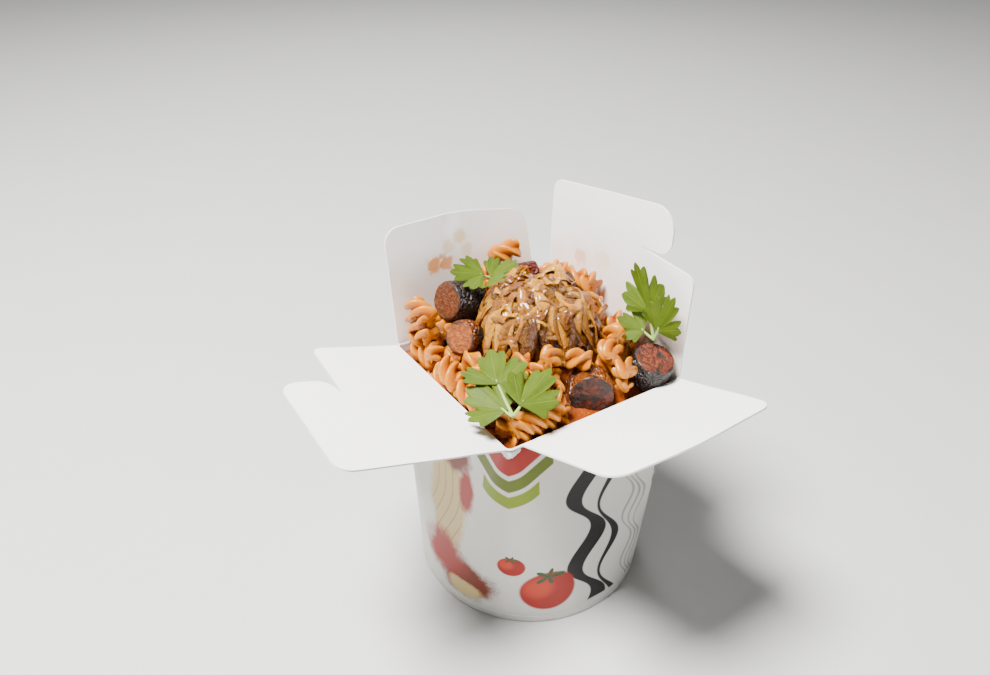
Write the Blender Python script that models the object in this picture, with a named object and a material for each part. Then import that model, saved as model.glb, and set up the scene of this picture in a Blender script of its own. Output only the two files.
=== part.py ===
"""Noodle takeaway box of white paperboard, open and filled.

The tub is round at the foot and square at the rim, with a lid flap hinged on
each side. It holds a heap of spiral pasta in sauce, a mound of fried onion,
chunks of grilled sausage and sprigs of coriander. Metres, +Z up, origin at
the middle of the foot. The sides of the opening face -X, -Y, +X and +Y.
"""

import math
import random

import bmesh
import bpy
from mathutils import Matrix, Vector

MM = 0.001

# Paperboard tub
OPENING_SIDE = 86 * MM
BOX_HEIGHT = 103 * MM
FOOT_RADIUS = 50.5 * MM
FOOT_SQUARENESS = 0.03
RIM_CORNER_RADIUS = 2.5 * MM
BACK_CORNER_SHIFT = Vector((-5 * MM, 0))
BOARD = 0.7 * MM
BASE_BOARD = 0.9 * MM
GAP = 0.3 * MM
FOLD_DROP = 1.0 * MM
CORNER_STEPS = 10

# Lid flaps: how far each stands above level, and where its sheet starts
LEAN = {"left": 16.8, "front": 18.8, "right": 88.9, "back": 79.8}
FOLD_START = 0.45 * MM
SIDE_CLEARANCE = 0.6 * MM
ARC_STEP = math.radians(18)

# Heap of pasta
EDGE_LEVEL = 102 * MM
HEAP_RISE = 17 * MM
RISE_RUN = 40 * MM
CORE_SINK = 3.2 * MM
CORE_ROWS = 9
OVERHANG = 2.2 * MM

# One spiral of pasta
SPIRAL_RADIUS = 5.3 * MM
SPIRAL_WAIST = 1.9 * MM
SPIRAL_BLADES = 3
SPIRAL_TURN = 19 * MM
SPIRAL_STEP = 2.0 * MM
SPIRAL_LENGTH = 24 * MM
FIT_STEP = 1.0 * MM
FIT_GAP = 0.36 * MM
SHORTEST = 6 * MM
FILL_TRIES = 400
FILL_REACH = 38 * MM
FILL_LIFT = 5 * MM
FILL_SPACING = 7.0 * MM
FILL_SHORTEST = 8 * MM
HEAP_SEED = 5

# Spirals that show: middle (mm), heading and tilt (degrees), length (mm), share of full thickness
SPIRALS = [
    # along the front rim
    ((-27, -36.5, 103.5), 0, -2, 20, 1),
    ((-26, -37, 108), 0, 0, 22, 1),
    ((-18, -32, 109.5), 0, -3, 22, 1),
    ((-13.5, -34, 104), 80, 10, 14, 1),
    ((17.5, -37, 107), 75, 10, 14, 0.6),
    ((-12, -24, 105), -10, 0, 16, 1),
    # along the left rim
    ((-38, -14, 106), 92, 0, 22, 1),
    ((-23, -21, 111), -70, -7, 20, 1),
    ((-25, -10, 107), 60, 0, 18, 1),
    ((-37.5, 8, 108.5), -95, -8, 22, 1),
    ((-36, 4, 103), 100, 5, 18, 1),
    ((-27, 22, 103.5), 20, 0, 18, 1),
    ((-36.4, 30, 104), 90, 5, 20, 1),
    ((-33, 30, 109.5), -50, -5, 18, 1),
    ((-36.5, 31, 115.5), 90, 4, 20, 1),
    ((-36, 32, 123), 90, 0, 14, 1),
    # beside and under the onion
    ((-22, 5, 105), 13, 0, 18, 1),
    ((25.5, -21, 110), 15, 5, 17, 1),
    ((31, -16.5, 114), -20, 5, 14, 1),
    ((30, -17, 106), 0, 0, 16, 1),
    # against the right flap
    ((34, -18, 118), -87, 0, 16, 1),
    ((34, -4, 119.5), -87, 0, 18, 1),
    ((33.8, 2, 127.5), -87, 0, 16, 1),
    ((33, 6, 105.5), 85, 0, 20, 1),
    ((32, 17, 121), -80, 0, 20, 1),
    ((30.5, 16, 127.5), -65, 5, 15, 1),
    ((32.3, 26, 114), 90, 0, 18, 1),
    # against the back flap
    ((22, 31, 112.5), -20, 0, 20, 1),
    ((8, 36, 111.5), 0, 0, 18, 1),
    ((2, 39.5, 119.5), 0, 0, 20, 1),
    ((4, 40.3, 125), 0, 10, 16, 1),
    ((10, 41.8, 133), 0, 10, 18, 1),
]

# Mound of onion, and the ring that lies at its edge
ONION_CENTRE = Vector((4.5 * MM, 4 * MM))
ONION_LONG = 25.5 * MM
ONION_SHORT = 23 * MM
ONION_TURN = math.radians(-34)
ONION_FLOOR = 111.5 * MM
ONION_TOP = 137 * MM
DOME_CROWN = 3
DOME_SIDE = 0.7
ONION_STRIPS = 20
STRIP_THICK = 1.3 * MM
STRIP_PARTS = 4
RING_CENTRE = Vector((24.2, -4.6, 124.8)) * MM
RING_FACING = Vector((-0.25, -0.45, 0.85))
RING_RADIUS = 5.2 * MM
RING_THICK = 1.8 * MM
RING_STEPS = 14
MOUND_HEART = ONION_CENTRE.to_3d() + Vector((0, 0, ONION_FLOOR - 20 * MM))
ONION_SEED = 11
ONION_BED = 1.0 * MM
BED_FALL = 30 * MM

# Sausage chunks: middle of the cut face, direction into the chunk, radius, length
SAUSAGES = [
    (Vector((-23.5, 33.0, 124.0)) * MM, Vector((0.92, 0.12, -0.34)), 8.6 * MM, 18 * MM),
    (Vector((-29.0, 13.5, 117.5)) * MM, Vector((0.85, 0.40, -0.35)), 7.0 * MM, 8.5 * MM),
    (Vector((13.0, 36.5, 123.2)) * MM, Vector((0.96, -0.20, 0.05)), 5.2 * MM, 12 * MM),
    (Vector((1.8, -36.0, 105.5)) * MM, Vector((0.55, 0.83, -0.08)), 9.0 * MM, 12.5 * MM),
    (Vector((32.8, -37.3, 114.0)) * MM, Vector((0.00, 0.33, -0.94)), 8.6 * MM, 13 * MM),
]
SAUSAGE_SIDES = 16
SAUSAGE_SWELL = 1.04

# Coriander: where each sprig's stem ends, then each leaflet's base, tip, facing and half-width share
LEAF_THICK = 0.5 * MM
LEAF_WAVE = 0.06
STEM_RADIUS = 0.6 * MM
STEM_SIDES = 5
LEAF_FAN = math.radians(82)
LEAF_RAYS = 12
LEAF_ROWS = 1
SPRIGS = [
    (Vector((-38.0, -38.8, 114.5)), [
        (Vector((-34.8, -23.4, 118.3)), Vector((-26.0, -5.0, 120.0)), Vector((-0.25, -0.35, 0.9)), 1.00),
        (Vector((-38.2, -34.8, 114.5)), Vector((-43.4, -15.2, 114.5)), Vector((-0.25, -0.35, 0.9)), 0.90),
        (Vector((-34.5, -37.8, 117.5)), Vector((-13.5, -28.0, 120.0)), Vector((-0.20, -0.45, 0.9)), 0.75),
    ]),
    (Vector((35.8, -32.5, 119.0)), [
        (Vector((35.2, -29.0, 130.5)), Vector((35.6, -18.0, 148.0)), Vector((-0.96, -0.22, 0.18)), 0.80),
        (Vector((34.0, -28.5, 122.0)), Vector((27.0, -19.0, 125.5)), Vector((-0.35, -0.50, 0.8)), 0.95),
        (Vector((35.8, -33.5, 123.5)), Vector((37.0, -40.5, 142.0)), Vector((-0.96, -0.22, 0.18)), 0.75),
    ]),
    (Vector((-2.0, 30.5, 130.0)), [
        (Vector((-5.5, 31.0, 132.5)), Vector((-19.5, 36.0, 135.0)), Vector((-0.1, -0.4, 0.9)), 0.95),
        (Vector((-4.3, 28.3, 131.0)), Vector((-1.5, 20.0, 133.0)), Vector((-0.1, -0.4, 0.9)), 0.95),
        (Vector((-3.5, 29.0, 132.0)), Vector((11.5, 31.5, 133.5)), Vector((-0.1, -0.4, 0.9)), 0.80),
    ]),
]


for thing in list(bpy.data.objects):
    bpy.data.objects.remove(thing, do_unlink=True)


def paint(name, colour, roughness):
    """A plain material in the piece's colour."""
    made = bpy.data.materials.new(name)
    made.use_nodes = True
    shader = made.node_tree.nodes["Principled BSDF"]
    shader.inputs["Base Color"].default_value = (*colour, 1)
    shader.inputs["Roughness"].default_value = roughness
    return made


def add_piece(name, bm, material):
    """Turns a closed bmesh into a named object with its faces pointing out."""
    bmesh.ops.recalc_face_normals(bm, faces=bm.faces)
    mesh = bpy.data.meshes.new(name)
    bm.to_mesh(mesh)
    bm.free()
    mesh.materials.append(material)
    piece = bpy.data.objects.new(name, mesh)
    bpy.context.scene.collection.objects.link(piece)
    mesh.shade_smooth()
    mesh.set_sharp_from_angle(angle=math.radians(35))
    return piece


def skin(bm, rings, looped=False):
    """Quads between neighbouring rings of points, with flat ends unless looped."""
    rows = [[bm.verts.new(point) for point in ring] for ring in rings]
    pairs = list(zip(rows, rows[1:]))
    if looped:
        pairs.append((rows[-1], rows[0]))
    for low, high in pairs:
        for i in range(len(low)):
            j = (i + 1) % len(low)
            bm.faces.new((low[i], low[j], high[j], high[i]))
    if not looped:
        bm.faces.new(list(reversed(rows[0])))
        bm.faces.new(rows[-1])
    return rows


# The tub

def rim_corners():
    """The opening's corners, anticlockwise from the one between left and front."""
    half = OPENING_SIDE / 2
    corners = [Vector((sx * half, sy * half)) for sx, sy in ((-1, -1), (1, -1), (1, 1), (-1, 1))]
    corners[2] += BACK_CORNER_SHIFT
    return corners


def side_normal(side):
    """Outward direction of the side that runs from corner `side` to the next."""
    corners = rim_corners()
    along = corners[(side + 1) % 4] - corners[side]
    return Vector((along.y, -along.x)).normalized()


def box_section(height, inset):
    """Outline of the tub at a height: each corner's arc shrinks from foot to rim."""
    square = FOOT_SQUARENESS + (1 - FOOT_SQUARENESS) * height / BOX_HEIGHT
    radius = (1 - square) * FOOT_RADIUS + square * RIM_CORNER_RADIUS - inset
    outline = []
    for k, corner in enumerate(rim_corners()):
        pull = Vector((math.copysign(1, corner.x), math.copysign(1, corner.y))) * RIM_CORNER_RADIUS
        centre = (corner - pull) * square
        first = side_normal(k - 1)
        sweep = first.angle(side_normal(k))
        start = math.atan2(first.y, first.x)
        for i in range(CORNER_STEPS + 1):
            turn = start + sweep * i / CORNER_STEPS
            x, y = centre.x + radius * math.cos(turn), centre.y + radius * math.sin(turn)
            outline.append(Vector((x, y, height)))
    return outline


def tub_wall(material):
    """One board from the foot to just under the flaps' folds."""
    top = BOX_HEIGHT - FOLD_DROP
    bm = bmesh.new()
    profile = [(0, 0), (top, 0), (top, BOARD), (0, BOARD)]
    skin(bm, [box_section(height, inset) for height, inset in profile], looped=True)
    return add_piece("tub_wall", bm, material)


def tub_base(material):
    """The bottom disc, held inside the wall's foot."""
    inset = BOARD + GAP
    rings = [box_section(0, inset), box_section(BASE_BOARD, inset)]
    bm = bmesh.new()
    skin(bm, rings)
    return add_piece("tub_base", bm, material)


# The lid flaps

def rounded(points):
    """An outline from corners (u, v, radius), each turned into an arc."""
    outline = []
    for i, (u, v, radius) in enumerate(points):
        here = Vector((u, v))
        if radius == 0:
            outline.append(here)
            continue
        back = (Vector(points[i - 1][:2]) - here).normalized()
        ahead = (Vector(points[(i + 1) % len(points)][:2]) - here).normalized()
        corner = back.angle(ahead)
        centre = here + (back + ahead).normalized() * radius / math.sin(corner / 2)
        first = here + back * radius / math.tan(corner / 2) - centre
        last = here + ahead * radius / math.tan(corner / 2) - centre
        sweep = first.angle_signed(last)
        steps = max(1, math.ceil(abs(sweep) / ARC_STEP))
        for k in range(steps + 1):
            outline.append(centre + Matrix.Rotation(-sweep * k / steps, 2) @ first)
    return outline


def hooked_outline(width, crown, shoulder, tongue, notch, heel):
    """Outer lid: full at one side, with a hooked tongue over a notch at the other."""
    edge = SIDE_CLEARANCE
    return rounded([
        (edge, FOLD_START, 0),
        (edge, crown, 6 * MM),
        (tongue, shoulder, 9 * MM),
        (tongue + 0.5 * MM, notch[1] + 1.5 * MM, 7 * MM),
        (notch[0], notch[1] + 0.4 * MM, 0),
        (notch[0], notch[1], 0),
        (width - edge, heel, 4 * MM),
        (width - edge, FOLD_START, 0),
    ])


def plain_outline(width, near, middle, far, far_width):
    """Inner lid: a tapering tab with round corners and a bowed top edge."""
    edge = SIDE_CLEARANCE
    return rounded([
        (edge, FOLD_START, 0),
        (edge, near, 7 * MM),
        (width * 0.48, middle, 90 * MM),
        (far_width - 3 * MM, far, 9 * MM),
        (far_width, FOLD_START, 0),
    ])


def flap(name, side, lean, outline, material):
    """A sheet cut to its outline, hung on an axis along its side of the rim."""
    corners = rim_corners()
    start = corners[(side + 1) % 4].to_3d() + Vector((0, 0, BOX_HEIGHT))
    along = (corners[side] - corners[(side + 1) % 4]).normalized().to_3d()
    outward = side_normal(side).to_3d() * math.cos(lean) + Vector((0, 0, 1)) * math.sin(lean)
    inner = along.cross(outward)
    bm = bmesh.new()
    skin(bm, [[Vector((u, v, h)) for u, v in outline] for h in (-BOARD / 2, BOARD / 2)])
    piece = add_piece(name, bm, material)
    frame = Matrix((along, outward, inner)).transposed().to_4x4()
    frame.translation = start
    piece.matrix_world = frame
    return piece


# The heap of pasta

def smooth_step(x):
    x = min(max(x, 0), 1)
    return x * x * (3 - 2 * x)


def lay_level(x, y):
    """Height of the heap's surface: low along the open left and front sides."""
    half = OPENING_SIDE / 2
    rise = smooth_step((x + half) / RISE_RUN) * smooth_step((y + half) / RISE_RUN)
    return EDGE_LEVEL + HEAP_RISE * rise


def direction(heading, tilt):
    """The direction that has a heading and a tilt in degrees."""
    heading, tilt = math.radians(heading), math.radians(tilt)
    return Vector((math.cos(heading) * math.cos(tilt), math.sin(heading) * math.cos(tilt), math.sin(tilt)))


def mound_reach(x, y):
    """Share of the way from the onion mound's middle to its edge."""
    flat = Matrix.Rotation(-ONION_TURN, 2) @ (Vector((x, y)) - ONION_CENTRE)
    return math.hypot(flat.x / ONION_LONG, flat.y / ONION_SHORT)


def mound_distance(point):
    """Roughly how far a point is from the onion mound."""
    height = (point.z - ONION_FLOOR) / (ONION_TOP - ONION_FLOOR)
    edge = (1 - min(max(height, 0), 1) ** (1 / DOME_SIDE)) ** (1 / DOME_CROWN)
    aside = max(mound_reach(point.x, point.y) - edge, 0) * ONION_SHORT
    return math.hypot(aside, max(ONION_FLOOR - point.z, point.z - ONION_TOP, 0))


def ring_distance(point):
    """How far a point is from the disc that the onion ring fills."""
    offset = point - RING_CENTRE
    height = offset.dot(RING_FACING.normalized())
    aside = (offset - RING_FACING.normalized() * height).length
    return math.hypot(max(aside - RING_RADIUS - RING_THICK, 0), max(abs(height) - RING_THICK, 0))


def leaf_distance(point, base, tip, facing, breadth):
    """Roughly how far a point is from a leaflet."""
    along = (tip - base).normalized()
    across = along.cross(facing).normalized()
    length = (tip - base).length * MM
    offset = point - base * MM
    ahead, aside = offset.dot(along), offset.dot(across) / breadth
    angle = abs(math.atan2(aside, ahead))
    reach = math.hypot(ahead, aside)
    past_tip = max(reach - length * leaf_reach(min(angle, LEAF_FAN)), 0)
    past_side = reach * math.sin(min(max(angle - LEAF_FAN, 0), math.pi / 2))
    apart = max(abs(offset.dot(across.cross(along))) - LEAF_WAVE * length - LEAF_THICK / 2, 0)
    return math.hypot(max(past_tip, past_side), apart)


def clear_of_toppings(point, room):
    """True where a spiral's axis misses the sausage chunks, the onion mound and the leaves."""
    for face, into, radius, length in SAUSAGES:
        into = into.normalized()
        depth = (point - face).dot(into)
        beyond = max(-depth, depth - length, 0)
        aside = max((point - face - into * depth).length - radius * SAUSAGE_SWELL, 0)
        if math.hypot(beyond, aside) < room:
            return False
    if mound_distance(point) < room + STRIP_THICK * (point.z > ONION_FLOOR) or ring_distance(point) < room:
        return False
    return all(leaf_distance(point, *leaflet) > room for _, leaflets in SPRIGS for leaflet in leaflets)


def inside_box(point, room):
    """True where a spiral's axis is inside the walls, or only a little over the two open sides."""
    above = max(point.z - BOX_HEIGHT, 0)
    spill = OVERHANG * smooth_step(above / (4 * MM))
    spread = (spill, 0, above / math.tan(math.radians(LEAN["back"])), spill)
    for side, (corner, over) in enumerate(zip(rim_corners(), spread)):
        depth = (point.to_2d() - corner).dot(side_normal(side))
        if depth > over - BOARD - room:
            return False
    return True


def free_run(middle, way, length, girth, laid):
    """The longest run of an axis's points that are free of walls, toppings and spirals laid."""
    room = SPIRAL_RADIUS * girth + FIT_GAP
    count = round(length / FIT_STEP)
    runs = [[]]
    for i in range(count + 1):
        point = middle + way * (i - count / 2) * FIT_STEP
        apart = all((point - other).length > FILL_SPACING for other in laid)
        if apart and inside_box(point, room) and clear_of_toppings(point, room):
            runs[-1].append(point)
        else:
            runs.append([])
    return max(runs, key=len)


def fitted_spirals():
    """Two ends and a thickness for each spiral: the listed ones, then others where there is room."""
    draw = random.Random(HEAP_SEED)
    runs = []
    for middle, heading, tilt, length, girth in SPIRALS:
        way = direction(heading + draw.uniform(-2, 2), tilt + draw.uniform(-2, 2))
        runs.append((free_run(Vector(middle) * MM, way, length * MM, girth, []), girth))
    laid = [point for run, _ in runs for point in run[::2]]
    for _ in range(FILL_TRIES):
        x, y = draw.uniform(-FILL_REACH, FILL_REACH), draw.uniform(-FILL_REACH, FILL_REACH)
        middle = Vector((x, y, lay_level(x, y) + draw.uniform(0, FILL_LIFT)))
        way = direction(draw.uniform(0, 180), draw.uniform(-12, 12))
        run = free_run(middle, way, SPIRAL_LENGTH, 1, laid)
        if len(run) * FIT_STEP > FILL_SHORTEST:
            runs.append((run, 1))
            laid += run[::2]
    return [(run[0], run[-1], girth) for run, girth in runs if len(run) * FIT_STEP > SHORTEST]


def spiral(a, b, girth, phase):
    """A closed spiral of pasta: a bladed section that turns along its axis."""
    way = (b - a).normalized()
    side = way.orthogonal().normalized()
    rise = way.cross(side)
    count = max(4, round((b - a).length / SPIRAL_STEP))
    rings = []
    for i in range(count + 1):
        share = i / count
        turn = phase + 2 * math.pi * (b - a).length * share / SPIRAL_TURN
        ring = []
        for k in range(2 * SPIRAL_BLADES):
            reach = girth * (SPIRAL_RADIUS if k % 2 == 0 else SPIRAL_WAIST)
            angle = turn + math.pi * k / SPIRAL_BLADES
            ring.append(a.lerp(b, share) + side * reach * math.cos(angle) + rise * reach * math.sin(angle))
        rings.append(ring)
    bm = bmesh.new()
    skin(bm, rings)
    return bm


def heap_core():
    """What the showing spirals lie on: it fills the tub and is bumpy on top."""
    inset = BOARD + GAP
    foot = BASE_BOARD + GAP
    shoulder = EDGE_LEVEL - CORE_SINK
    rings = [box_section(foot, inset), box_section(shoulder, inset)]
    for row in range(1, CORE_ROWS):
        share = 1 - row / CORE_ROWS
        ring = []
        for x, y, _ in box_section(shoulder, inset):
            x, y = x * share, y * share
            bump = 0.8 * MM * math.sin(x / (4 * MM)) * math.cos(y / (5 * MM)) * (1 - share)
            bed = ONION_FLOOR + ONION_BED - BED_FALL * max(0, mound_reach(x, y) - 1)
            ring.append(Vector((x, y, max(lay_level(x, y) - CORE_SINK + bump, bed))))
        rings.append(ring)
    bm = bmesh.new()
    skin(bm, rings)
    return bm


def loose_object(name, bm):
    """A mesh that only serves to be joined or cut, with triangles for faces."""
    bmesh.ops.triangulate(bm, faces=bm.faces)
    bmesh.ops.recalc_face_normals(bm, faces=bm.faces)
    mesh = bpy.data.meshes.new(name)
    bm.to_mesh(mesh)
    bm.free()
    made = bpy.data.objects.new(name, mesh)
    bpy.context.scene.collection.objects.link(made)
    return made


def combine(base, others, operation, solver="EXACT"):
    """One Boolean of base with a collection, applied; the collection is removed."""
    group = bpy.data.collections.new("joining")
    bpy.context.scene.collection.children.link(group)
    for other in others:
        group.objects.link(other)
    boolean = base.modifiers.new("join", "BOOLEAN")
    boolean.operation = operation
    boolean.operand_type = "COLLECTION"
    boolean.collection = group
    boolean.solver = solver
    bpy.context.view_layer.update()
    evaluated = base.evaluated_get(bpy.context.evaluated_depsgraph_get())
    joined = bmesh.new()
    joined.from_mesh(evaluated.to_mesh())
    evaluated.to_mesh_clear()
    base.modifiers.remove(boolean)
    for other in others:
        bpy.data.objects.remove(other, do_unlink=True)
    bpy.data.collections.remove(group)
    return joined


def keep_largest(bm):
    """Drops loose scraps and the walls of sealed hollows: only the outer shell stays."""
    bmesh.ops.triangulate(bm, faces=bm.faces)
    unseen = set(bm.faces)
    shells = []
    while unseen:
        shell = {unseen.pop()}
        front = list(shell)
        while front:
            for edge in front.pop().edges:
                for face in edge.link_faces:
                    if face in unseen:
                        unseen.discard(face)
                        shell.add(face)
                        front.append(face)
        shells.append(shell)
    shells.sort(key=len)
    for shell in shells[:-1]:
        bmesh.ops.delete(bm, geom=list(shell), context="FACES")
    return bm


def sausage_mesh(face, into, radius, length, grow=0.0, sides=SAUSAGE_SIDES):
    """A cut chunk: straight skin, a little crowned, with rounded cut edges."""
    into = into.normalized()
    side = into.orthogonal().normalized()
    rise = into.cross(side)
    profile = [
        (-grow, 0.86), (0.07 * length, 1.0), (0.5 * length, SAUSAGE_SWELL),
        (0.93 * length, 1.0), (length + grow, 0.86),
    ]
    rings = []
    for depth, share in profile:
        reach = radius * share + grow
        middle = face + into * depth
        rings.append([
            middle + (side * math.cos(turn) + rise * math.sin(turn)) * reach
            for turn in (2 * math.pi * k / sides for k in range(sides))
        ])
    bm = bmesh.new()
    skin(bm, rings)
    return bm


def pasta_heap(material):
    """The core with its hollows for the sausage chunks, and the spirals joined on."""
    core = loose_object("pasta_core", heap_core())
    moulds = [loose_object(f"mould_{i}", sausage_mesh(*chunk, grow=1.2 * GAP))
              for i, chunk in enumerate(SAUSAGES)]
    moulds.append(loose_object("onion_mould", onion_dome(1.2 * GAP)))
    dented = loose_object("pasta_dented", combine(core, moulds, "DIFFERENCE"))
    bpy.data.objects.remove(core, do_unlink=True)
    draw = random.Random(HEAP_SEED + 1)
    spirals = [
        loose_object(f"spiral_{i}", spiral(a, b, girth, draw.uniform(0, math.pi)))
        for i, (a, b, girth) in enumerate(fitted_spirals())
    ]
    heap = keep_largest(combine(dented, spirals, "UNION", "MANIFOLD"))
    bpy.data.objects.remove(dented, do_unlink=True)
    return add_piece("pasta", heap, material)


# The onion mound

def mound_point(u, turn, grow=0.0):
    """A point on the mound: u runs from 0 on top to 1 at its edge."""
    flat = Matrix.Rotation(ONION_TURN, 2) @ Vector((
        (ONION_LONG + grow) * u * math.cos(turn), (ONION_SHORT + grow) * u * math.sin(turn)))
    lift = (ONION_TOP - ONION_FLOOR) * (1 - u ** DOME_CROWN) ** DOME_SIDE
    bump = 1.0 * MM * math.sin(5 * turn + 7 * u) * math.sin(math.pi * u)
    return Vector((ONION_CENTRE.x + flat.x, ONION_CENTRE.y + flat.y, ONION_FLOOR + lift + bump))


def onion_strip(draw):
    """A curved strip of onion that lies over the mound."""
    u, turn = math.sqrt(draw.uniform(0.03, 0.62)), draw.uniform(0, 2 * math.pi)
    heading, bend = draw.uniform(0, math.pi), draw.uniform(-1.5, 1.5)
    length, width = draw.uniform(0.5, 0.85), draw.uniform(1.6, 2.6) * MM
    points = []
    for i in range(STRIP_PARTS + 1):
        along = (i / STRIP_PARTS - 0.5) * length
        x = u * math.cos(turn) + along * math.cos(heading + bend * along)
        y = u * math.sin(turn) + along * math.sin(heading + bend * along)
        points.append(mound_point(min(math.hypot(x, y), 0.84), math.atan2(y, x)))
    rings = []
    for i, here in enumerate(points):
        way = (points[min(i + 1, STRIP_PARTS)] - points[max(i - 1, 0)]).normalized()
        up = (here - MOUND_HEART).normalized()
        across = way.cross(up).normalized() * width * (1 if 0 < i < STRIP_PARTS else 0.5)
        low, high = here - up * STRIP_THICK * 0.6, here + up * STRIP_THICK
        rings.append([low - across, low + across, high + across * 0.8, high - across * 0.8])
    bm = bmesh.new()
    skin(bm, rings)
    return bm


def onion_dome(grow=0.0):
    """The mound's plain body, flat underneath."""
    steps, rows = 20, 5
    lift = Vector((0, 0, grow))
    rings = [[mound_point(1, 2 * math.pi * k / steps, grow) - lift for k in range(steps)]]
    for row in range(1, rows):
        u = 1 - (row / rows) ** 1.2
        rings.append([mound_point(u, 2 * math.pi * k / steps, grow) + lift for k in range(steps)])
    bm = bmesh.new()
    skin(bm, rings)
    return bm


def onion_ring():
    """A whole ring of onion at the mound's edge."""
    facing = RING_FACING.normalized()
    side = facing.orthogonal().normalized()
    rise = facing.cross(side)
    rings = []
    for i in range(RING_STEPS):
        turn = 2 * math.pi * i / RING_STEPS
        out = side * math.cos(turn) + rise * math.sin(turn)
        middle = RING_CENTRE + out * RING_RADIUS
        rings.append([
            middle + (out * math.cos(around) * 0.6 + facing * math.sin(around)) * RING_THICK
            for around in (k * math.pi / 2 for k in range(4))
        ])
    bm = bmesh.new()
    skin(bm, rings, looped=True)
    return bm


def onion_mound(material):
    """A low dome with strips and a ring fused over it."""
    dome = loose_object("onion_dome", onion_dome())
    draw = random.Random(ONION_SEED)
    strips = [loose_object(f"strip_{i}", onion_strip(draw)) for i in range(ONION_STRIPS)]
    strips.append(loose_object("onion_ring", onion_ring()))
    mound = keep_largest(combine(dome, strips, "UNION", "MANIFOLD"))
    bpy.data.objects.remove(dome, do_unlink=True)
    return add_piece("onion", mound, material)


# The coriander

def leaf_reach(angle):
    """Share of a leaflet's length at an angle from its midrib: one lobe, and one each side."""
    return 0.84 + 0.16 * math.cos(6 * angle) - 0.22 * (angle / LEAF_FAN) ** 2


def leaflet(base, tip, facing, breadth):
    """A thin wavy fan whose two faces are split into the same triangles."""
    along = (tip - base).normalized()
    across = along.cross(facing).normalized()
    up = across.cross(along)
    length = (tip - base).length
    sheets = []
    for half in (LEAF_THICK / 2, -LEAF_THICK / 2):
        rows = [[base + up * half]]
        for row in range(1, LEAF_ROWS + 1):
            points = []
            for ray in range(LEAF_RAYS + 1):
                angle = LEAF_FAN * (2 * ray / LEAF_RAYS - 1)
                reach = length * leaf_reach(angle) * row / LEAF_ROWS
                wave = LEAF_WAVE * length * math.sin(3 * angle) * (row / LEAF_ROWS) ** 2
                points.append(base + along * reach * math.cos(angle)
                              + across * reach * math.sin(angle) * breadth + up * (half + wave))
            rows.append(points)
        sheets.append(rows)
    bm = bmesh.new()
    top, low = [[[bm.verts.new(point) for point in row] for row in rows] for rows in sheets]
    for rows, flip in ((top, False), (low, True)):
        for k in range(LEAF_RAYS):
            triangles = [(rows[0][0], rows[1][k], rows[1][k + 1])]
            for inner, outer in zip(rows[1:], rows[2:]):
                triangles += [(inner[k], outer[k], outer[k + 1]), (inner[k], outer[k + 1], inner[k + 1])]
            for triangle in triangles:
                bm.faces.new(reversed(triangle) if flip else triangle)
    rim_top, rim_low = [
        sheet[0] + [row[0] for row in sheet[1:]] + sheet[-1][1:] + [row[-1] for row in sheet[-2:0:-1]]
        for sheet in (top, low)
    ]
    for i in range(len(rim_top)):
        j = (i + 1) % len(rim_top)
        bm.faces.new((rim_top[i], rim_low[i], rim_low[j], rim_top[j]))
    return bm


def stem(start, end):
    """A thin tapering stalk."""
    way = (end - start).normalized()
    side = way.orthogonal().normalized()
    rise = way.cross(side)
    rings = []
    for share, reach in ((0, 1.3), (0.5, 1.0), (1, 0.7)):
        rings.append([
            start.lerp(end, share) + (side * math.cos(2 * math.pi * k / STEM_SIDES)
                                      + rise * math.sin(2 * math.pi * k / STEM_SIDES)) * STEM_RADIUS * reach
            for k in range(STEM_SIDES)
        ])
    bm = bmesh.new()
    skin(bm, rings)
    return bm


def coriander_sprig(name, root, leaflets, material):
    """Three leaflets on stalks that meet at the root."""
    solids = []
    for i, (base, tip, facing, breadth) in enumerate(leaflets):
        base, tip = base * MM, tip * MM
        solids.append(loose_object(f"{name}_leaf_{i}", leaflet(base, tip, facing.normalized(), breadth)))
        solids.append(loose_object(f"{name}_stem_{i}", stem(root * MM, base.lerp(tip, 0.25))))
    sprig = keep_largest(combine(solids[0], solids[1:], "UNION", "MANIFOLD"))
    bpy.data.objects.remove(solids[0], do_unlink=True)
    return add_piece(name, sprig, material)


def build():
    board = paint("white_board", (0.85, 0.84, 0.80), 0.45)
    pasta = paint("sauced_pasta", (0.80, 0.34, 0.07), 0.35)
    onion = paint("fried_onion", (0.55, 0.27, 0.06), 0.25)
    sausage = paint("grilled_sausage", (0.20, 0.06, 0.03), 0.45)
    coriander = paint("coriander_leaf", (0.17, 0.33, 0.05), 0.5)

    tub_wall(board)
    tub_base(board)
    widths = [(rim_corners()[(k + 1) % 4] - rim_corners()[k]).length for k in range(4)]
    front, right, back, left = range(4)
    flap("flap_left", left, math.radians(LEAN["left"]), hooked_outline(
        widths[left], crown=69 * MM, shoulder=66.5 * MM, tongue=58.5 * MM, notch=(48.4 * MM, 44.2 * MM),
        heel=40.5 * MM), board)
    flap("flap_right", right, math.radians(LEAN["right"]), hooked_outline(
        widths[right], crown=59.5 * MM, shoulder=70 * MM, tongue=71.5 * MM, notch=(56 * MM, 48 * MM),
        heel=46 * MM), board)
    flap("flap_front", front, math.radians(LEAN["front"]), plain_outline(
        widths[front], near=49.5 * MM, middle=54 * MM, far=50.5 * MM, far_width=79.6 * MM), board)
    flap("flap_back", back, math.radians(LEAN["back"]), plain_outline(
        widths[back], near=52 * MM, middle=51.5 * MM, far=45 * MM, far_width=75 * MM), board)
    pasta_heap(pasta)
    onion_mound(onion)
    for i, chunk in enumerate(SAUSAGES):
        add_piece(f"sausage_{i + 1}", sausage_mesh(*chunk), sausage)
    for i, (root, leaflets) in enumerate(SPRIGS):
        coriander_sprig(f"coriander_{i + 1}", root, leaflets, coriander)


build()
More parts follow.
